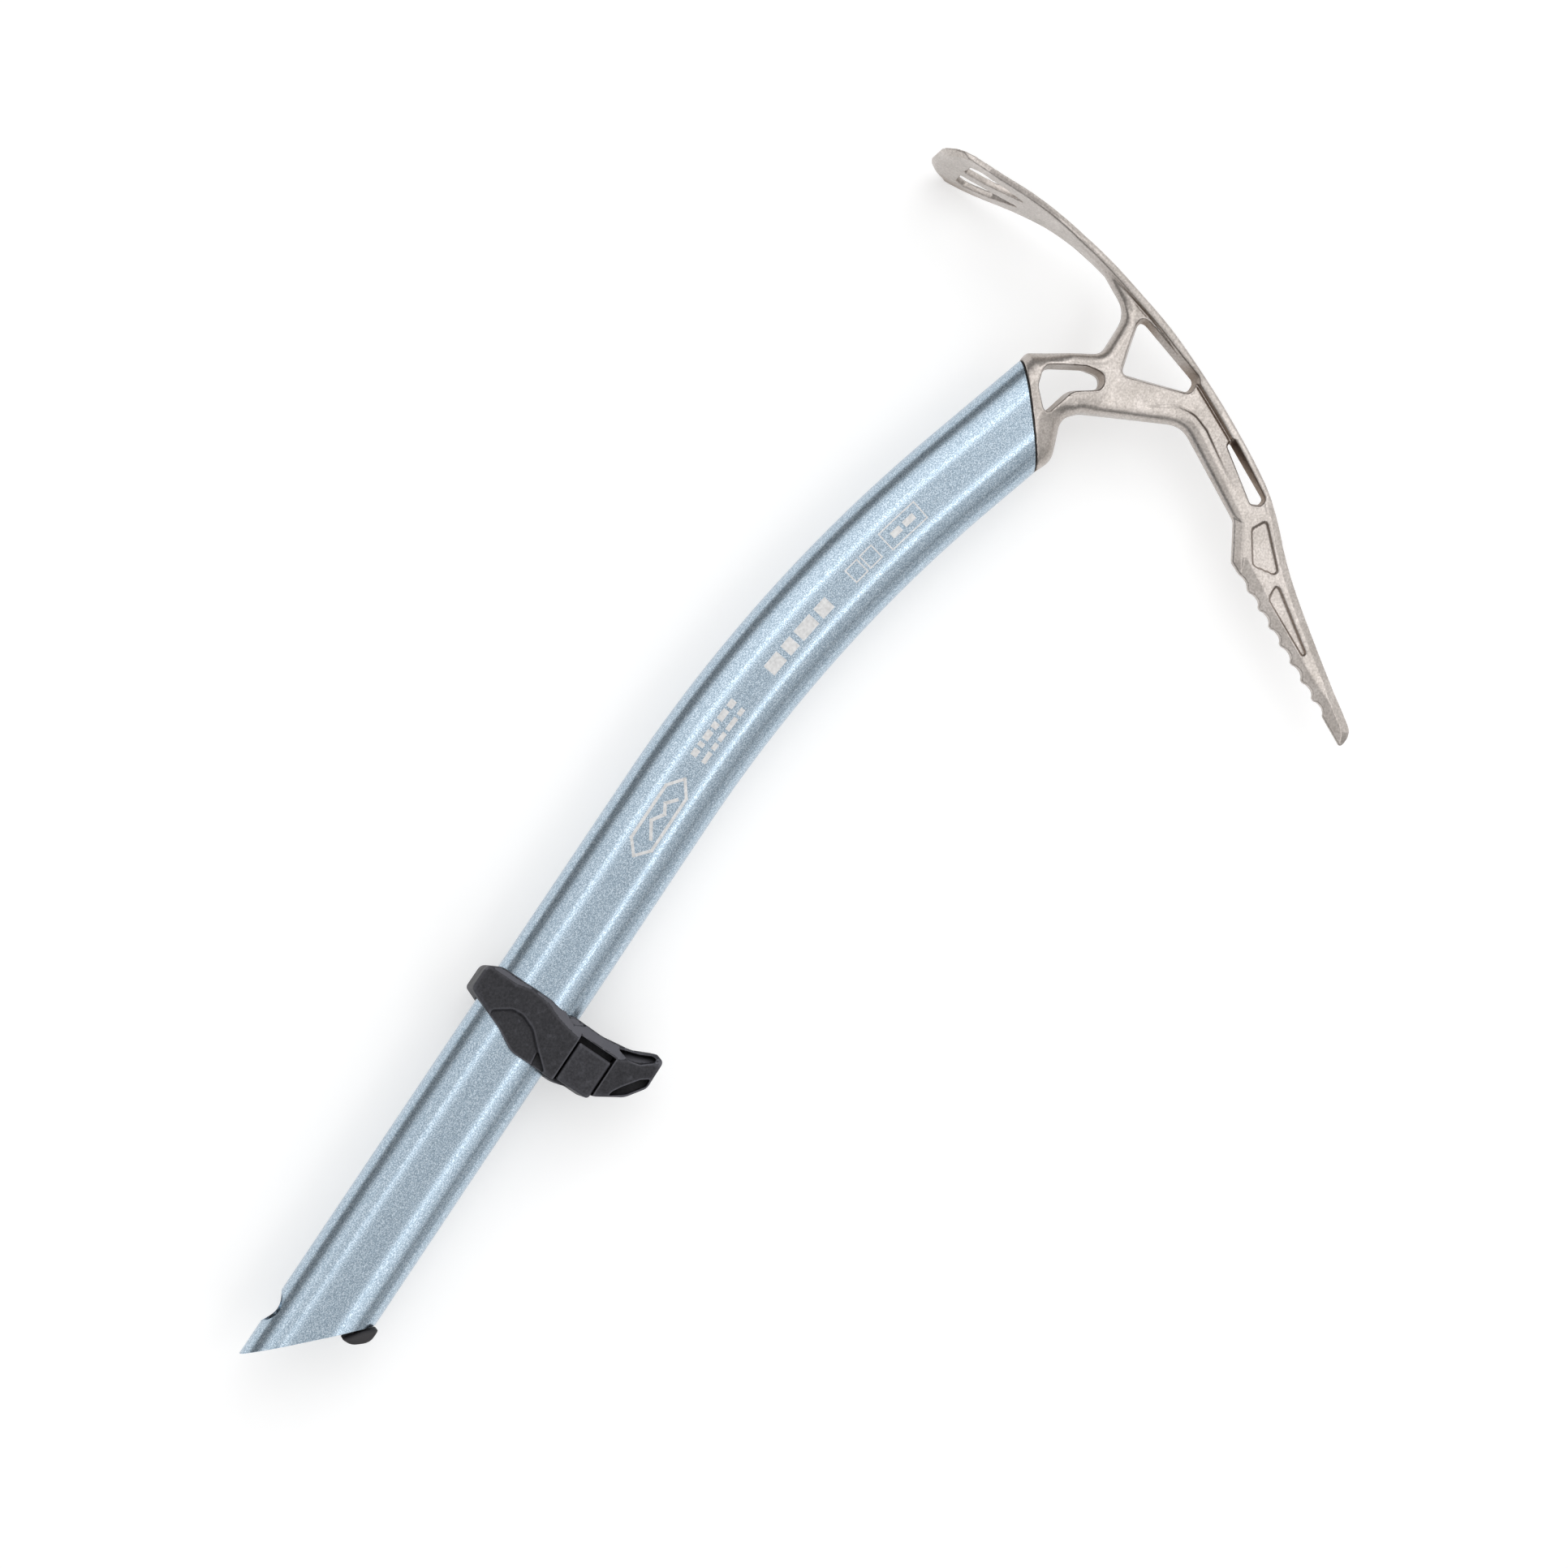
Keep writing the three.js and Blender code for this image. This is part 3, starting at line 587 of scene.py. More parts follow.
def plate_field(u, v, z, past_joint, flange):
    """The head's plate, with its recesses and its sharpened facets, but without its openings."""
    # Thick at the joint, thin at the tip
    by_joint = np.interp(past_joint, [0, 5, 12, 25, 40, 60], [9.6, 9.2, 8.1, 6.2, 4.9, 4.5])
    by_pick = np.interp(v, [-175, -165, -150, -125, -105, -88, -67, -45, -30],
                        [1.9, 2.1, 2.4, 2.6, 2.9, 3.5, 4.3, 6, 9])
    half = np.minimum(by_joint, by_pick)
    arm_recess = inside_by(ARM_RECESS, u, v, -0.3, 0.8)
    stem_recess = inside_by(STEM_RECESS, u, v, -0.3, 1.8)
    pocket = np.maximum.reduce([inside_by(corners, u, v, -0.2, 0.35) for corners in POCKETS])
    groove = ramp(flange, 1.0, 0.1) * np.interp(v, [-112, -96, -50, -42, -20], [0, 1, 1, 0.5, 0])
    half = half - arm_recess * np.interp(v, [-98, -92, -84, -72, -63, -57], [0, 0.5, 0.9, 0.9, 0.35, 0])
    half = half - stem_recess * np.interp(v, [-46, -36, -24, -12], [0.4, 0.7, 0.6, 0])
    half = half - 0.5 * groove - 1.1 * pocket
    # A broad round along the neck and the arm, narrow along the teeth
    outline = polygon_distance(head_outline(), u, v)
    round_to = np.interp(v, [-115.5, -112.5, -106, -98, -60], [0.35, 2.5, 2.9, 3.4, 4.2])
    round_to = np.maximum(round_to, np.interp(past_joint, [0, 8, 24], [9.4, 8.0, 0]))
    round_to = np.minimum(round_to, half * 0.97)
    plate = both(outline[:, :, None], z - half[:, :, None], round_to[:, :, None])

    # Facets that sharpen the teeth, the back and the tip of the pick, and a bead along the arm
    teeth_in = facet_distance(u, v, (389.0, -111.0), (363.6, -164.2))
    above_nose = np.maximum(0, 0.9 * (v + 114.8) - 0.45 * (u - 389))
    above_tip = np.maximum(0, v + 163)
    top = np.minimum(0.75 + 0.43 * teeth_in, 0.5 + 0.33 * teeth_in + 0.05 * above_tip) + above_nose
    tip_in = np.minimum(spine_x(v) - u, line_distance([SPINE[-1]] + PICK_END, u, v))
    back = 1.2 - 0.7 * ramp(-v, 156, 168) + 0.41 * tip_in + 0.1 * np.maximum(0, v + 120)
    bead = 1.15 - 0.62 * outline + 0.12 * np.maximum(0, v + 97) + 1.2 * np.maximum(0, -117 - v)
    bead = bead + np.maximum(0, u - 402)
    plate = blend_max(plate, (z - np.minimum.reduce([top, back, bead])[:, :, None]) * 0.9, 0.12)
    return np.maximum(plate, 0.1 - past_joint[:, :, None])


def blade_field(u, v, y, z, flange):
    """The spine's flange and the adze: a strip cut to the blade's shape, bevelled at the adze's edge."""
    across, along = np.broadcast_arrays(z[0], y[0])
    envelope = polygon_distance(BLADE, along, across)[None]
    edge = line_distance(BLADE_EDGE, along, across)
    bevel = (spine_x(v) - u)[:, :, None] - (0.7 + 0.55 * edge)[None]
    edge_round = np.interp(v, [-100, -60, 0, 12], [0.5, 1.1, 1.1, 0.5])
    strip = both(np.maximum(flange[:, :, None], bevel * 0.85), envelope, edge_round[:, :, None])
    slot = polygon_distance(rounded([(a, b, 1.0) for a, b in ADZE_SLOT]), along, across)[None]
    return blend_max(strip, -slot + 0 * strip, 0.3)


def head_field(x, y, z):
    u, v = np.broadcast_arrays(x[:, :, 0], y[:, :, 0])
    past_joint = (u - JOINT_A[0]) * JOINT_NORMAL[0] + (v - JOINT_A[1]) * JOINT_NORMAL[1]
    flange = polygon_distance(strip_outline(), u, v)
    body = blend_min(plate_field(u, v, z, past_joint, flange), blade_field(u, v, y, z, flange), 0.5)

    # Openings, wider at the faces than in the middle
    holes = np.minimum.reduce([polygon_distance(rounded(hole), u, v) for hole in (TRIANGLE_HOLE, SLOT_HOLE)])
    neck_hole = polygon_distance(rounded(NECK_HOLE), u, v)
    body = blend_max(body, -(holes[:, :, None] - 0.28 * z), 0.4)
    return blend_max(body, -(neck_hole[:, :, None] - 0.12 * z), 0.5)


def facet_distance(u, v, start, end):
    """Distance inwards from a straight line."""
    run = np.array(end) - np.array(start)
    run = run / np.linalg.norm(run)
    return (u - start[0]) * -run[1] + (v - start[1]) * run[0]


def make_head():
    return carve("cast_head", head_field, (356, -178, 0), (453, 47, 24), 0.5)


# ---- Hand rest ----

REST_OUTLINE = [
    (135.9, 19.6, 1.5), (144.6, 19.6, 3), (147, 14.8, 4), (147, -3, 0), (146.4, -24, 12), (147.9, -34.4, 12),
    (151.3, -41.6, 1.2), (150.3, -44.4, 1.5), (140.4, -44.6, 4), (134.1, -40.2, 6), (128.7, -31.6, 12),
    (126.1, -22.5, 10), (126.1, -2, 8), (129.8, 4.6, 3),
]
REST_HALF = 12.6
# Where the slanted face on the head side starts, as (y, x)
FACET_LINE = [
    (20, 144.6), (8, 144.6), (3, 145.8), (-4, 145), (-8, 143.3), (-13, 142), (-17, 141.4), (-25, 141.6),
    (-32, 142.7), (-43.5, 148.5),
]
# Dips in the faces, as a depth and corners (x, y, radius)
DIPS = [
    (1.0, [(146.9, -8.6, 0.6), (144.2, -14.2, 0.8), (146.4, -18.6, 0.5)]),
    (2.9, [(145.9, -30.2, 0.5), (146.6, -32.4, 2), (148.1, -37, 4), (149.9, -40.7, 1), (149.8, -42.2, 0.8),
           (148.4, -42.1, 1.5), (145.3, -38.4, 3), (144.5, -34.8, 3)]),
    (3.6, [(131.6, -35.3, 0.5), (133.6, -35.9, 2), (136.2, -37.4, 3), (141.4, -41.2, 2), (143.4, -43.8, 0.5),
           (140.8, -44, 1.5), (134.9, -39.9, 3)]),
    (2.6, [(126.5, -9.6, 0.3), (131.2, -8.9, 0.5), (126.8, -14.0, 0.3), (120, -12, 0)]),
]
SCOOP = [
    (129, 10.6, 0), (134, 10.5, 2), (137.8, 5, 4), (138, 1, 6), (136, -4, 6), (131.4, -8.9, 1),
    (126.8, -14.2, 0), (120, -17, 0), (120, 10, 0),
]
SCOOP_DEPTH = 1.3
# Gaps around the shaft: of the rest's bore, of the liners' seats, and of the liners, out and in
BORE_GAP = 0.55
SEAT_GAP = 1.1
LINER_GAPS = (1.0, 0.15)
WINDOW_X = (120, 142.8)
WINDOW_Y = (-31.2, -17.9)
BUTTON_Y = (-30.7, -18.5)
COS_45 = 0.707
# Millimetres for each unit of the section's oval
OVAL_REACH = 11


def shaft_section_distance(y, z, offset):
    """About the distance outside the shaft's straight section grown by an offset."""
    across, up = np.abs(y) / (HALF_WIDTH + offset), np.abs(z) / (HALF_THICK + offset)
    oval = (across ** POWER + up ** POWER) ** (1 / POWER)
    return np.maximum((oval - 1) * OVAL_REACH, np.abs(z) - FLAT_Z - offset)


def slab(value, low, high):
    return np.maximum(low - value, value - high)


def box_field(x, x_range, y, y_range):
    return np.maximum(slab(x, *x_range), slab(y, *y_range))


def low_slot(z, low, high):
    """A slot at a height above the middle plane, on the side that is computed."""
    return np.maximum(z - high, low - z)


def rest_field(x, y, z):
    u, v = np.broadcast_arrays(x[:, :, 0], y[:, :, 0])
    outline = polygon_distance(rounded(REST_OUTLINE), u, v)[:, :, None]
    facet_x = np.interp(y[0, :, 0], *zip(*sorted(FACET_LINE)))
    facet = (x - facet_x[None, :, None] + z - REST_HALF) * COS_45
    body = both(outline, z - REST_HALF, 1.2)
    body = blend_max(body, facet, 0.5)
    scoop = polygon_distance(rounded(SCOOP), u, v)
    body = blend_max(body, z - (REST_HALF - SCOOP_DEPTH * ramp(-scoop, -0.2, 0.9))[:, :, None], 0.2)
    for depth, corners in DIPS:
        dip = polygon_distance(rounded(corners), u, v)
        reach = np.minimum(REST_HALF, REST_HALF - (x[:, :, 0] - facet_x[None, :])) - depth
        body = blend_max(body, -np.maximum(dip[:, :, None], reach[:, :, None] - z), 0.2)
    bore = shaft_section_distance(y, z, BORE_GAP)
    body = blend_max(body, -bore + 0 * x, 0.25)
    seat = box_field(x, (128.7, 144.8), y, (-6.3, 11.3))
    body = np.maximum(body, -np.maximum(seat, shaft_section_distance(y, z, SEAT_GAP)))
    window = box_field(x, WINDOW_X, y, WINDOW_Y) + 0 * z
    body = blend_max(body, -window, 0.2)
    # More room under the window's lip at the head end, so that the button's shoulder can slide in
    room = np.maximum(box_field(x, (138, 144.9), y, WINDOW_Y), low_slot(z, 3.4, 6.8))
    return np.maximum(body, -room)


def make_rest():
    return carve("sliding_rest", rest_field, (124, -47, 0), (153, 22, 14), 0.32)


def liner_field(x, y, z):
    u, v = np.broadcast_arrays(x[:, :, 0], y[:, :, 0])
    within_rest = polygon_distance(rounded(REST_OUTLINE), u, v)[:, :, None] + 0.6
    outer, inner = LINER_GAPS
    ring = np.maximum(shaft_section_distance(y, z, outer), -shaft_section_distance(y, z, inner))
    body = np.maximum(box_field(x, (129.0, 144.5), y, (-6.0, 11.0)), np.maximum(ring, within_rest))
    return np.maximum(body, 5 - z)


def make_liner(name, top):
    """The liner above the shaft, or its mirror image below."""
    liner = carve(name, liner_field, (127, -8, 4), (146, 13, 12), 0.3, mirror=False)
    if not top:
        middle = place(0, 0, 0).z
        for vertex in liner.data.vertices:
            vertex.co.z = 2 * middle - vertex.co.z
        liner.data.flip_normals()
    return liner


BUTTON_BLOCK = [
    (127, BUTTON_Y[0], 1.6), (140.7, BUTTON_Y[0], 0.8), (140.7, BUTTON_Y[1], 0.8), (127, BUTTON_Y[1], 1.2),
]
PADDLE = [
    (127.1, -15.9, 0.5), (125.6, -15.9, 0.5), (125.6, -19.5, 10), (128.8, -30.2, 0.5), (130.5, -30.2, 0.5),
    (127.1, -21, 8),
]
SPRING_Y = -27
SPRING_BORE = 2.65


def button_field(x, y, z):
    u, v = np.broadcast_arrays(x[:, :, 0], y[:, :, 0])
    block = polygon_distance(rounded(BUTTON_BLOCK), u, v)
    body = both(block[:, :, None], z - 12.4, 1.0)
    shoulder = np.maximum(box_field(x, (139, 143.1), y, BUTTON_Y), low_slot(z, 3.7, 6.4))
    body = np.minimum(body, shoulder)
    paddle = polygon_distance(rounded(PADDLE), u, v)
    body = blend_min(body, both(paddle[:, :, None], z - 8, 0.4), 0.5)
    # Room for the brake shoe, and the bore for the spring
    hollow = np.maximum(box_field(x, (127.9, 136.5), y, (-24.9, -10)), z - 4.4)
    coil = np.maximum(np.hypot(y - SPRING_Y, z) - SPRING_BORE, 133.4 - x)
    return np.maximum(body, np.maximum(-hollow, -coil))


def make_button():
    return carve("push_button", button_field, (124, -33, 0), (145, -14, 14), 0.3)


# ---- Plug ----

PLUG_NOSE = [(31.0, -16.8, 0.8), (25.6, -16.8, 5), (21.6, -12.2, 5), (21.6, -8.2, 0.6), (27.0, -12.3, 0)]


def plug_field(x, y, z):
    u, v = np.broadcast_arrays(x[:, :, 0], y[:, :, 0])
    core = np.maximum(shaft_section_distance(y, z, -WALL - 0.3), slab(x, 0, 58))
    core = np.maximum(core, (HALF_WIDTH + 2 - x - y) * COS_45)
    # The core stops short of the leash hole
    core = np.maximum(core, y - 3.5)
    nose = both(polygon_distance(rounded(PLUG_NOSE), u, v)[:, :, None], z - 6.5, 1.6)
    wall = np.maximum(shaft_section_distance(y, z, 0.2), (HALF_WIDTH - 0.3 - x - y) * COS_45)
    nose = np.maximum(nose, -wall)
    neck = np.maximum(box_field(x, (25.5, 36), y, (-12, -9)), z - 3)
    return blend_min(blend_min(core, nose, 0.1), neck + 0 * core, 0.1)


def make_plug():
    return carve("end_plug", plug_field, (12, -19, 0), (60, 5, 10), 0.4)


# ---- Materials ----

def new_material(name):
    material = bpy.data.materials.new(name)
    material.use_nodes = True
    return material, material.node_tree.nodes, material.node_tree.links


def noise(nodes, links, vector, scale, detail=2.0, rough=0.5):
    node = nodes.new("ShaderNodeTexNoise")
    node.inputs["Scale"].default_value = scale
    node.inputs["Detail"].default_value = detail
    node.inputs["Roughness"].default_value = rough
    links.new(vector, node.inputs["Vector"])
    return node


def mapped(nodes, links, source, low, high, to_low, to_high):
    node = nodes.new("ShaderNodeMapRange")
    for key, value in (("From Min", low), ("From Max", high), ("To Min", to_low), ("To Max", to_high)):
        node.inputs[key].default_value = value
    links.new(source, node.inputs["Value"])
    return node.outputs["Result"]


def colours(nodes, links, source, stops):
    node = nodes.new("ShaderNodeValToRGB")
    ramp_stops = node.color_ramp.elements
    while len(ramp_stops) < len(stops):
        ramp_stops.new(0.5)
    for element, (at, colour) in zip(ramp_stops, stops):
        element.position = at
        element.color = (*colour, 1)
    links.new(source, node.inputs["Fac"])
    return node.outputs["Color"]


def bumps(nodes, links, shader, layers):
    """Stacks bump layers (height, distance in metres, strength) into the shader's normal."""
    before = None
    for height, distance, strength in layers:
        node = nodes.new("ShaderNodeBump")
        node.inputs["Distance"].default_value = distance
        node.inputs["Strength"].default_value = strength
        links.new(height, node.inputs["Height"])
        if before:
            links.new(before, node.inputs["Normal"])
        before = node.outputs["Normal"]
    links.new(before, shader.inputs["Normal"])


def hollow_shade(nodes, links, reach, low, high, to_low):
    """A factor that falls from 1 to to_low inside hollows of about that reach."""
    node = nodes.new("ShaderNodeAmbientOcclusion")
    node.samples = 6
    node.inputs["Distance"].default_value = reach
    return mapped(nodes, links, node.outputs["AO"], low, high, to_low, 1.0)


def edge_mask(nodes, links, start, end):
    """A factor that rises from 0 to 1 on sharp outer edges."""
    pointed = nodes.new("ShaderNodeNewGeometry").outputs["Pointiness"]
    return mapped(nodes, links, pointed, start, end, 0.0, 1.0)


def calculate(nodes, links, operation, *values):
    node = nodes.new("ShaderNodeMath")
    node.operation = operation
    for value, socket in zip(values, node.inputs):
        links.new(value, socket)
    return node.outputs["Value"]


def multiply(nodes, links, colour, factor):
    node = nodes.new("ShaderNodeMix")
    node.data_type = "RGBA"
    node.blend_type = "MULTIPLY"
    node.inputs["Factor"].default_value = 1.0
    links.new(colour, node.inputs["A"])
    links.new(factor, node.inputs["B"])
    return node.outputs["Result"]


def blend_colour(nodes, links, factor, colour, other):
    node = nodes.new("ShaderNodeMix")
    node.data_type = "RGBA"
    links.new(factor, node.inputs["Factor"])
    links.new(colour, node.inputs["A"])
    node.inputs["B"].default_value = (*other, 1)
    return node.outputs["Result"]


WHITE = (1, 1, 1)
STEEL_DARK, STEEL_LIGHT = (0.455, 0.417, 0.386), (0.565, 0.522, 0.492)
SPECK_DARK, SPECK_LIGHT = (0.78, 0.77, 0.76), (1.16, 1.16, 1.16)
# Colours of painted shade: on the steel's opening walls, and in its small hollows
WALL_PAINTED_SHADE, HOLLOW_PAINTED_SHADE = (0.60, 0.52, 0.45), (0.76, 0.70, 0.66)
ALUMINIUM = [(0.34, (0.29, 0.375, 0.455)), (0.5, (0.41, 0.51, 0.60)), (0.68, (0.66, 0.76, 0.85))]
NYLON_DARK, NYLON_LIGHT = (0.015, 0.015, 0.018), (0.038, 0.038, 0.044)
NYLON_EDGE, NYLON_WORN = (0.10, 0.10, 0.115), (0.085, 0.085, 0.10)


def steel_material():
    """Cast steel: a warm grey with fine grain, with painted brown shade on the walls of its openings and in
    its hollows.
    """
    material, nodes, links = new_material("cast_steel_look")
    shader = nodes["Principled BSDF"]
    place_in = nodes.new("ShaderNodeTexCoord").outputs["Object"]
    shader.inputs["Metallic"].default_value = 1.0
    grain = noise(nodes, links, place_in, 1500, 2)
    pits = noise(nodes, links, place_in, 600, 3, 0.6)
    cloud = noise(nodes, links, place_in, 90, 4)
    skin = colours(nodes, links, cloud.outputs["Fac"], [(0.32, STEEL_DARK), (0.68, STEEL_LIGHT)])
    speck = colours(nodes, links, grain.outputs["Fac"], [(0.3, SPECK_DARK), (0.7, SPECK_LIGHT)])
    skin = multiply(nodes, links, skin, speck)
    # Painted shade: enclosed walls inside the openings are darkened to a browner tone
    upright = nodes.new("ShaderNodeSeparateXYZ")
    links.new(nodes.new("ShaderNodeTexCoord").outputs["Normal"], upright.inputs["Vector"])
    facing = calculate(nodes, links, "ABSOLUTE", upright.outputs["Z"])
    wall = mapped(nodes, links, facing, 0.75, 0.35, 0.0, 1.0)
    enclosed = hollow_shade(nodes, links, 0.009, 0.98, 0.72, 0.0)
    dark = calculate(nodes, links, "MULTIPLY", wall, enclosed)
    skin = multiply(nodes, links, skin, colours(nodes, links, dark, [(0, WHITE), (1, WALL_PAINTED_SHADE)]))
    # Painted shade in the steel's small hollows and grooves
    hollow = hollow_shade(nodes, links, 0.004, 0.3, 0.85, 0.0)
    skin = multiply(nodes, links, skin, colours(nodes, links, hollow, [(0, HOLLOW_PAINTED_SHADE), (1, WHITE)]))
    links.new(skin, shader.inputs["Base Color"])
    links.new(mapped(nodes, links, pits.outputs["Fac"], 0.3, 0.7, 0.27, 0.37), shader.inputs["Roughness"])
    bumps(nodes, links, shader, [
        (grain.outputs["Fac"], 0.00004, 0.5), (pits.outputs["Fac"], 0.0001, 0.35)])
    return material


def shaft_material():
    """Anodised aluminium with bright flakes."""
    material, nodes, links = new_material("shaft_look")
    shader = nodes["Principled BSDF"]
    place_in = nodes.new("ShaderNodeTexCoord").outputs["Object"]
    shader.inputs["Metallic"].default_value = 1.0
    flake = noise(nodes, links, place_in, 2500, 1)
    coarse = noise(nodes, links, place_in, 1100, 2)
    links.new(colours(nodes, links, flake.outputs["Fac"], ALUMINIUM), shader.inputs["Base Color"])
    links.new(mapped(nodes, links, coarse.outputs["Fac"], 0.3, 0.7, 0.23, 0.29), shader.inputs["Roughness"])
    bumps(nodes, links, shader, [
        (flake.outputs["Fac"], 0.00003, 0.25), (coarse.outputs["Fac"], 0.00003, 0.15)])
    return material


def nylon_material(name="nylon_look", tint=1.0):
    """Moulded nylon: nearly black, lighter where its edges and faces are worn, with painted shade in its gaps
    and hollows.
    """
    material, nodes, links = new_material(name)
    shader = nodes["Principled BSDF"]
    place_in = nodes.new("ShaderNodeTexCoord").outputs["Object"]
    grain = noise(nodes, links, place_in, 1300, 3, 0.6)
    cloud = noise(nodes, links, place_in, 160, 2)
    dark, light = (tuple(c * tint for c in colour) for colour in (NYLON_DARK, NYLON_LIGHT))
    skin = colours(nodes, links, grain.outputs["Fac"], [(0.3, dark), (0.7, light)])
    skin = blend_colour(nodes, links, edge_mask(nodes, links, 0.504, 0.545), skin, NYLON_EDGE)
    wear = noise(nodes, links, place_in, 420, 5, 0.65)
    worn = mapped(nodes, links, wear.outputs["Fac"], 0.56, 0.74, 0.0, 0.55)
    skin = blend_colour(nodes, links, worn, skin, NYLON_WORN)
    # Painted shade: darker in the gaps and hollows
    skin = multiply(nodes, links, skin, hollow_shade(nodes, links, 0.003, 0.3, 0.85, 0.12))
    links.new(skin, shader.inputs["Base Color"])
    shader.inputs["Specular IOR Level"].default_value = 0.25
    links.new(mapped(nodes, links, cloud.outputs["Fac"], 0.3, 0.7, 0.5, 0.62), shader.inputs["Roughness"])
    bumps(nodes, links, shader, [(grain.outputs["Fac"], 0.00012, 0.6)])
    return material


def plain_material(name, colour, roughness, metallic=0.0):
    """One colour with a fine grain in its shade, gloss and surface."""
    material, nodes, links = new_material(name)
    shader = nodes["Principled BSDF"]
    place_in = nodes.new("ShaderNodeTexCoord").outputs["Object"]
    shader.inputs["Metallic"].default_value = metallic
    grain = noise(nodes, links, place_in, 900, 3)
    darker = tuple(c * 0.75 for c in colour)
    skin = colours(nodes, links, grain.outputs["Fac"], [(0.3, darker), (0.7, colour)])
    links.new(skin, shader.inputs["Base Color"])
    links.new(mapped(nodes, links, grain.outputs["Fac"], 0.3, 0.7, roughness - 0.06, roughness + 0.06),
              shader.inputs["Roughness"])
    bumps(nodes, links, shader, [(grain.outputs["Fac"], 0.00005, 0.4)])
    return material


def dress(thing, material, body, slot, *nodes):
    """Gives a piece its look and its body, and hides the CAD nodes it stands for. The slot is not used."""
    thing.data.materials.clear()
    thing.data.materials.append(material)
    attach(thing, body)
    if nodes:
        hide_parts(*nodes)


# ---- Assembly ----

STEEL = steel_material()
SHAFT = shaft_material()
NYLON = nylon_material()
RUBBER = plain_material("rubber_look", (0.036, 0.034, 0.037), 0.7)
PRINT = plain_material("print_look", (0.70, 0.70, 0.70), 0.42, 1.0)
SEALANT = plain_material("seam_look", (0.012, 0.012, 0.012), 0.6)

dress(make_head(), STEEL, "axe", "cast_steel", "axe_head")
dress(make_shaft(), SHAFT, "axe", "shaft_metal", "shaft_tube")
dress(make_marks(), PRINT, "axe", "shaft_metal")
dress(make_seam(), SEALANT, "axe", "black_sealant", "head_seam")
dress(make_rest(), NYLON, "rest", "rest_nylon", "hand_rest")
dress(make_button(), nylon_material("button_look", 1.25), "button", "button_nylon", "lock_button")
dress(make_plug(), RUBBER, "axe", "plug_rubber", "tail_plug")
# CAD nodes whose shape is right as it is
CARRIED = {
    "brake_shoe": nylon_material("shoe_look", 1.5),
    "shoe_pad": RUBBER,
    "shoe_pin": plain_material("pin_look", (0.55, 0.55, 0.55), 0.3, 1.0),
    "button_spring": plain_material("spring_look", (0.6, 0.6, 0.6), 0.25, 1.0),
}
LINER = plain_material("liner_look", (0.03, 0.03, 0.033), 0.5)
for liner_node in ("collar_liner_front", "collar_liner_rear"):
    on_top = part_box(liner_node)[1].z > place(0, 0, 2).z
    dress(make_liner(liner_node + "_pad", on_top), LINER, "rest", "liner_plastic", liner_node)
for node, material in CARRIED.items():
    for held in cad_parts[node].material_slots:
        held.link = "OBJECT"
        held.material = material

# ---- Floor, light and camera ----

# In metres: the floor's half side, and its height just under the axe
FLOOR_HALF = 3
FLOOR_Z = -0.0005
# The camera in the working frame: its place, its back, and the angle of the picture's turn
CAMERA_AT = (85.4, 131.2, 1482.8)
CAMERA_BACK = (0.15, 0.03, 1)
CAMERA_TURN = math.radians(55.69)
LENS = 107.0
MIDDLE = (315, -170, 0)
# Area lights: name, place and the point faced in the working frame, size in metres, radiance
LIGHTS = [
    # Long strips beside the mirror line of the shaft's flat draw its borders as bright lines
    ("strip_adze_side", (560, 300, 1500), (560, -60, 0), (1.3, 0.40), 0.85),
    ("strip_pick_side", (560, -610, 1500), (560, -60, 0), (1.3, 0.36), 0.95),
    # Lights at the mirror place of the head's flats
    ("strip_pick_boost", (600, -620, 1450), (400, -60, 0), (0.9, 0.26), 0.9),
    ("strip_adze_boost", (650, 300, 1450), (400, -60, 0), (0.9, 0.3), 0.55),
    ("head_softbox", (950, -400, 1800), (400, -60, 0), (0.8, 0.45), 0.45),
    # A wide, weak ceiling on the head side, stronger towards the adze
    ("ceiling_adze_side", (1100, 1850, 2300), (1100, 1850, 0), (3.2, 3.7), 0.55),
    ("ceiling_adze_boost", (1450, 1900, 2200), (1450, 1900, 0), (1.9, 2.0), 0.55),
    ("ceiling_pick_side", (1100, -2100, 2300), (1100, -2100, 0), (3.2, 4.2), 0.36),
    # Walls that the head's slanted and rounded edges mirror
    ("low_wall", (1300, -2900, 700), MIDDLE, (3.0, 1.2), 0.5),
    ("arm_wall", (-800, 300, 1450), (390, -110, 0), (1.4, 1.1), 0.68),
    ("neck_wall", (-400, -1400, 1800), (400, -40, 0), (1.3, 1.3), 0.8),
    ("neck_top_wall", (1960, 440, 1750), (400, -30, 0), (1.4, 1.2), 1.0),
    ("horn_wall", (-1000, -1000, 1400), (390, -100, 0), (1.4, 1.2), 0.6),
    ("nose_wall", (-480, 1350, 1350), (395, -107, 0), (0.8, 0.8), 0.95),
    ("head_wall", (3400, -1200, 1500), MIDDLE, (5.0, 3.0), 0.75),
]
AMBIENT = 0.25


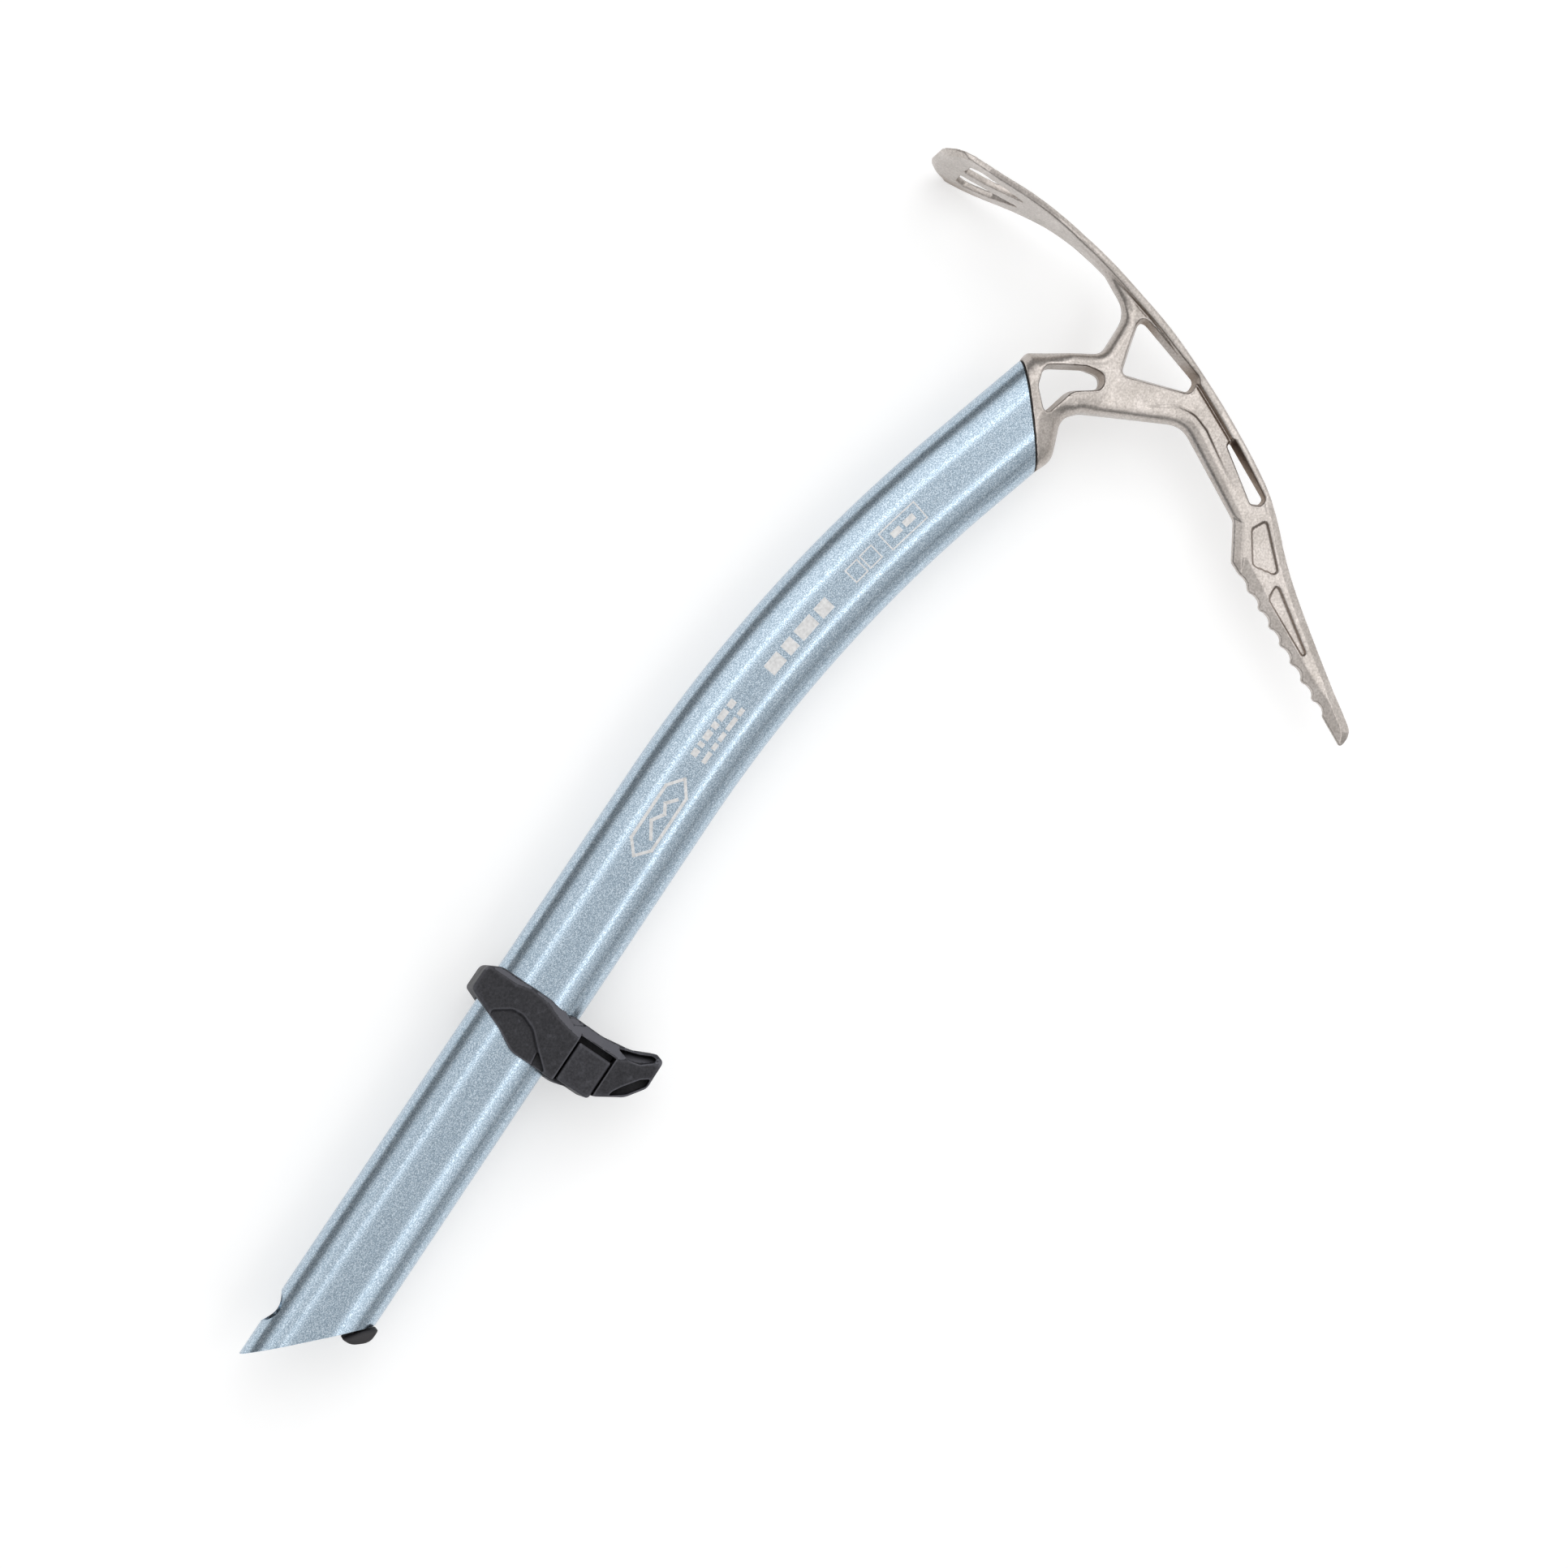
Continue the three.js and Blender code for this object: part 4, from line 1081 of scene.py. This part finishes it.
def make_floor():
    mesh = bpy.data.meshes.new("floor")
    around = ((-1, -1), (1, -1), (1, 1), (-1, 1))
    mesh.from_pydata([(FLOOR_HALF * x, FLOOR_HALF * y, FLOOR_Z) for x, y in around], [], [(0, 1, 2, 3)])
    floor = linked("floor", mesh)
    material, nodes, _ = new_material("floor_look")
    shader = nodes["Principled BSDF"]
    shader.inputs["Base Color"].default_value = (0.7, 0.7, 0.7, 1)
    shader.inputs["Roughness"].default_value = 1.0
    shader.inputs["Specular IOR Level"].default_value = 0.0
    shader.inputs["Emission Color"].default_value = (1, 1, 1, 1)
    shader.inputs["Emission Strength"].default_value = 0.39
    mesh.materials.append(material)


def make_camera():
    camera = linked("camera", bpy.data.cameras.new("camera"))
    # The rows of this matrix are the object's axes as the camera sees them
    row_z = Vector(CAMERA_BACK).normalized()
    along = Vector((math.cos(CAMERA_TURN), math.sin(CAMERA_TURN), 0))
    row_x = (along - row_z * along.dot(row_z)).normalized()
    seen = Matrix((row_x, row_z.cross(row_x), row_z)).to_4x4()
    camera.matrix_world = Matrix.Translation(place(*CAMERA_AT)) @ seen
    camera.data.lens = LENS
    camera.data.sensor_width = 36
    camera.data.clip_start, camera.data.clip_end = 0.05, 20
    bpy.context.scene.camera = camera


def make_light(name, where, target, size, radiance):
    """A rectangular light, as bright as asked, whose long side lies along x."""
    data = bpy.data.lights.new(name, "AREA")
    data.shape = "RECTANGLE"
    data.size, data.size_y = size
    data.energy = radiance * math.pi * size[0] * size[1]
    light = linked(name, data)
    light.location = where
    light.rotation_euler = (target - where).to_track_quat("-Z", "Y").to_euler()


def make_world():
    world = bpy.data.worlds.new("studio")
    world.use_nodes = True
    background = world.node_tree.nodes["Background"]
    background.inputs["Color"].default_value = (1, 1, 1, 1)
    background.inputs["Strength"].default_value = AMBIENT
    bpy.context.scene.world = world


make_floor()
make_camera()
for light_name, light_place, faced, extent, bright in LIGHTS:
    make_light(light_name, place(*light_place), place(*faced), extent, bright)
make_world()
bpy.context.scene.view_settings.view_transform = "Standard"
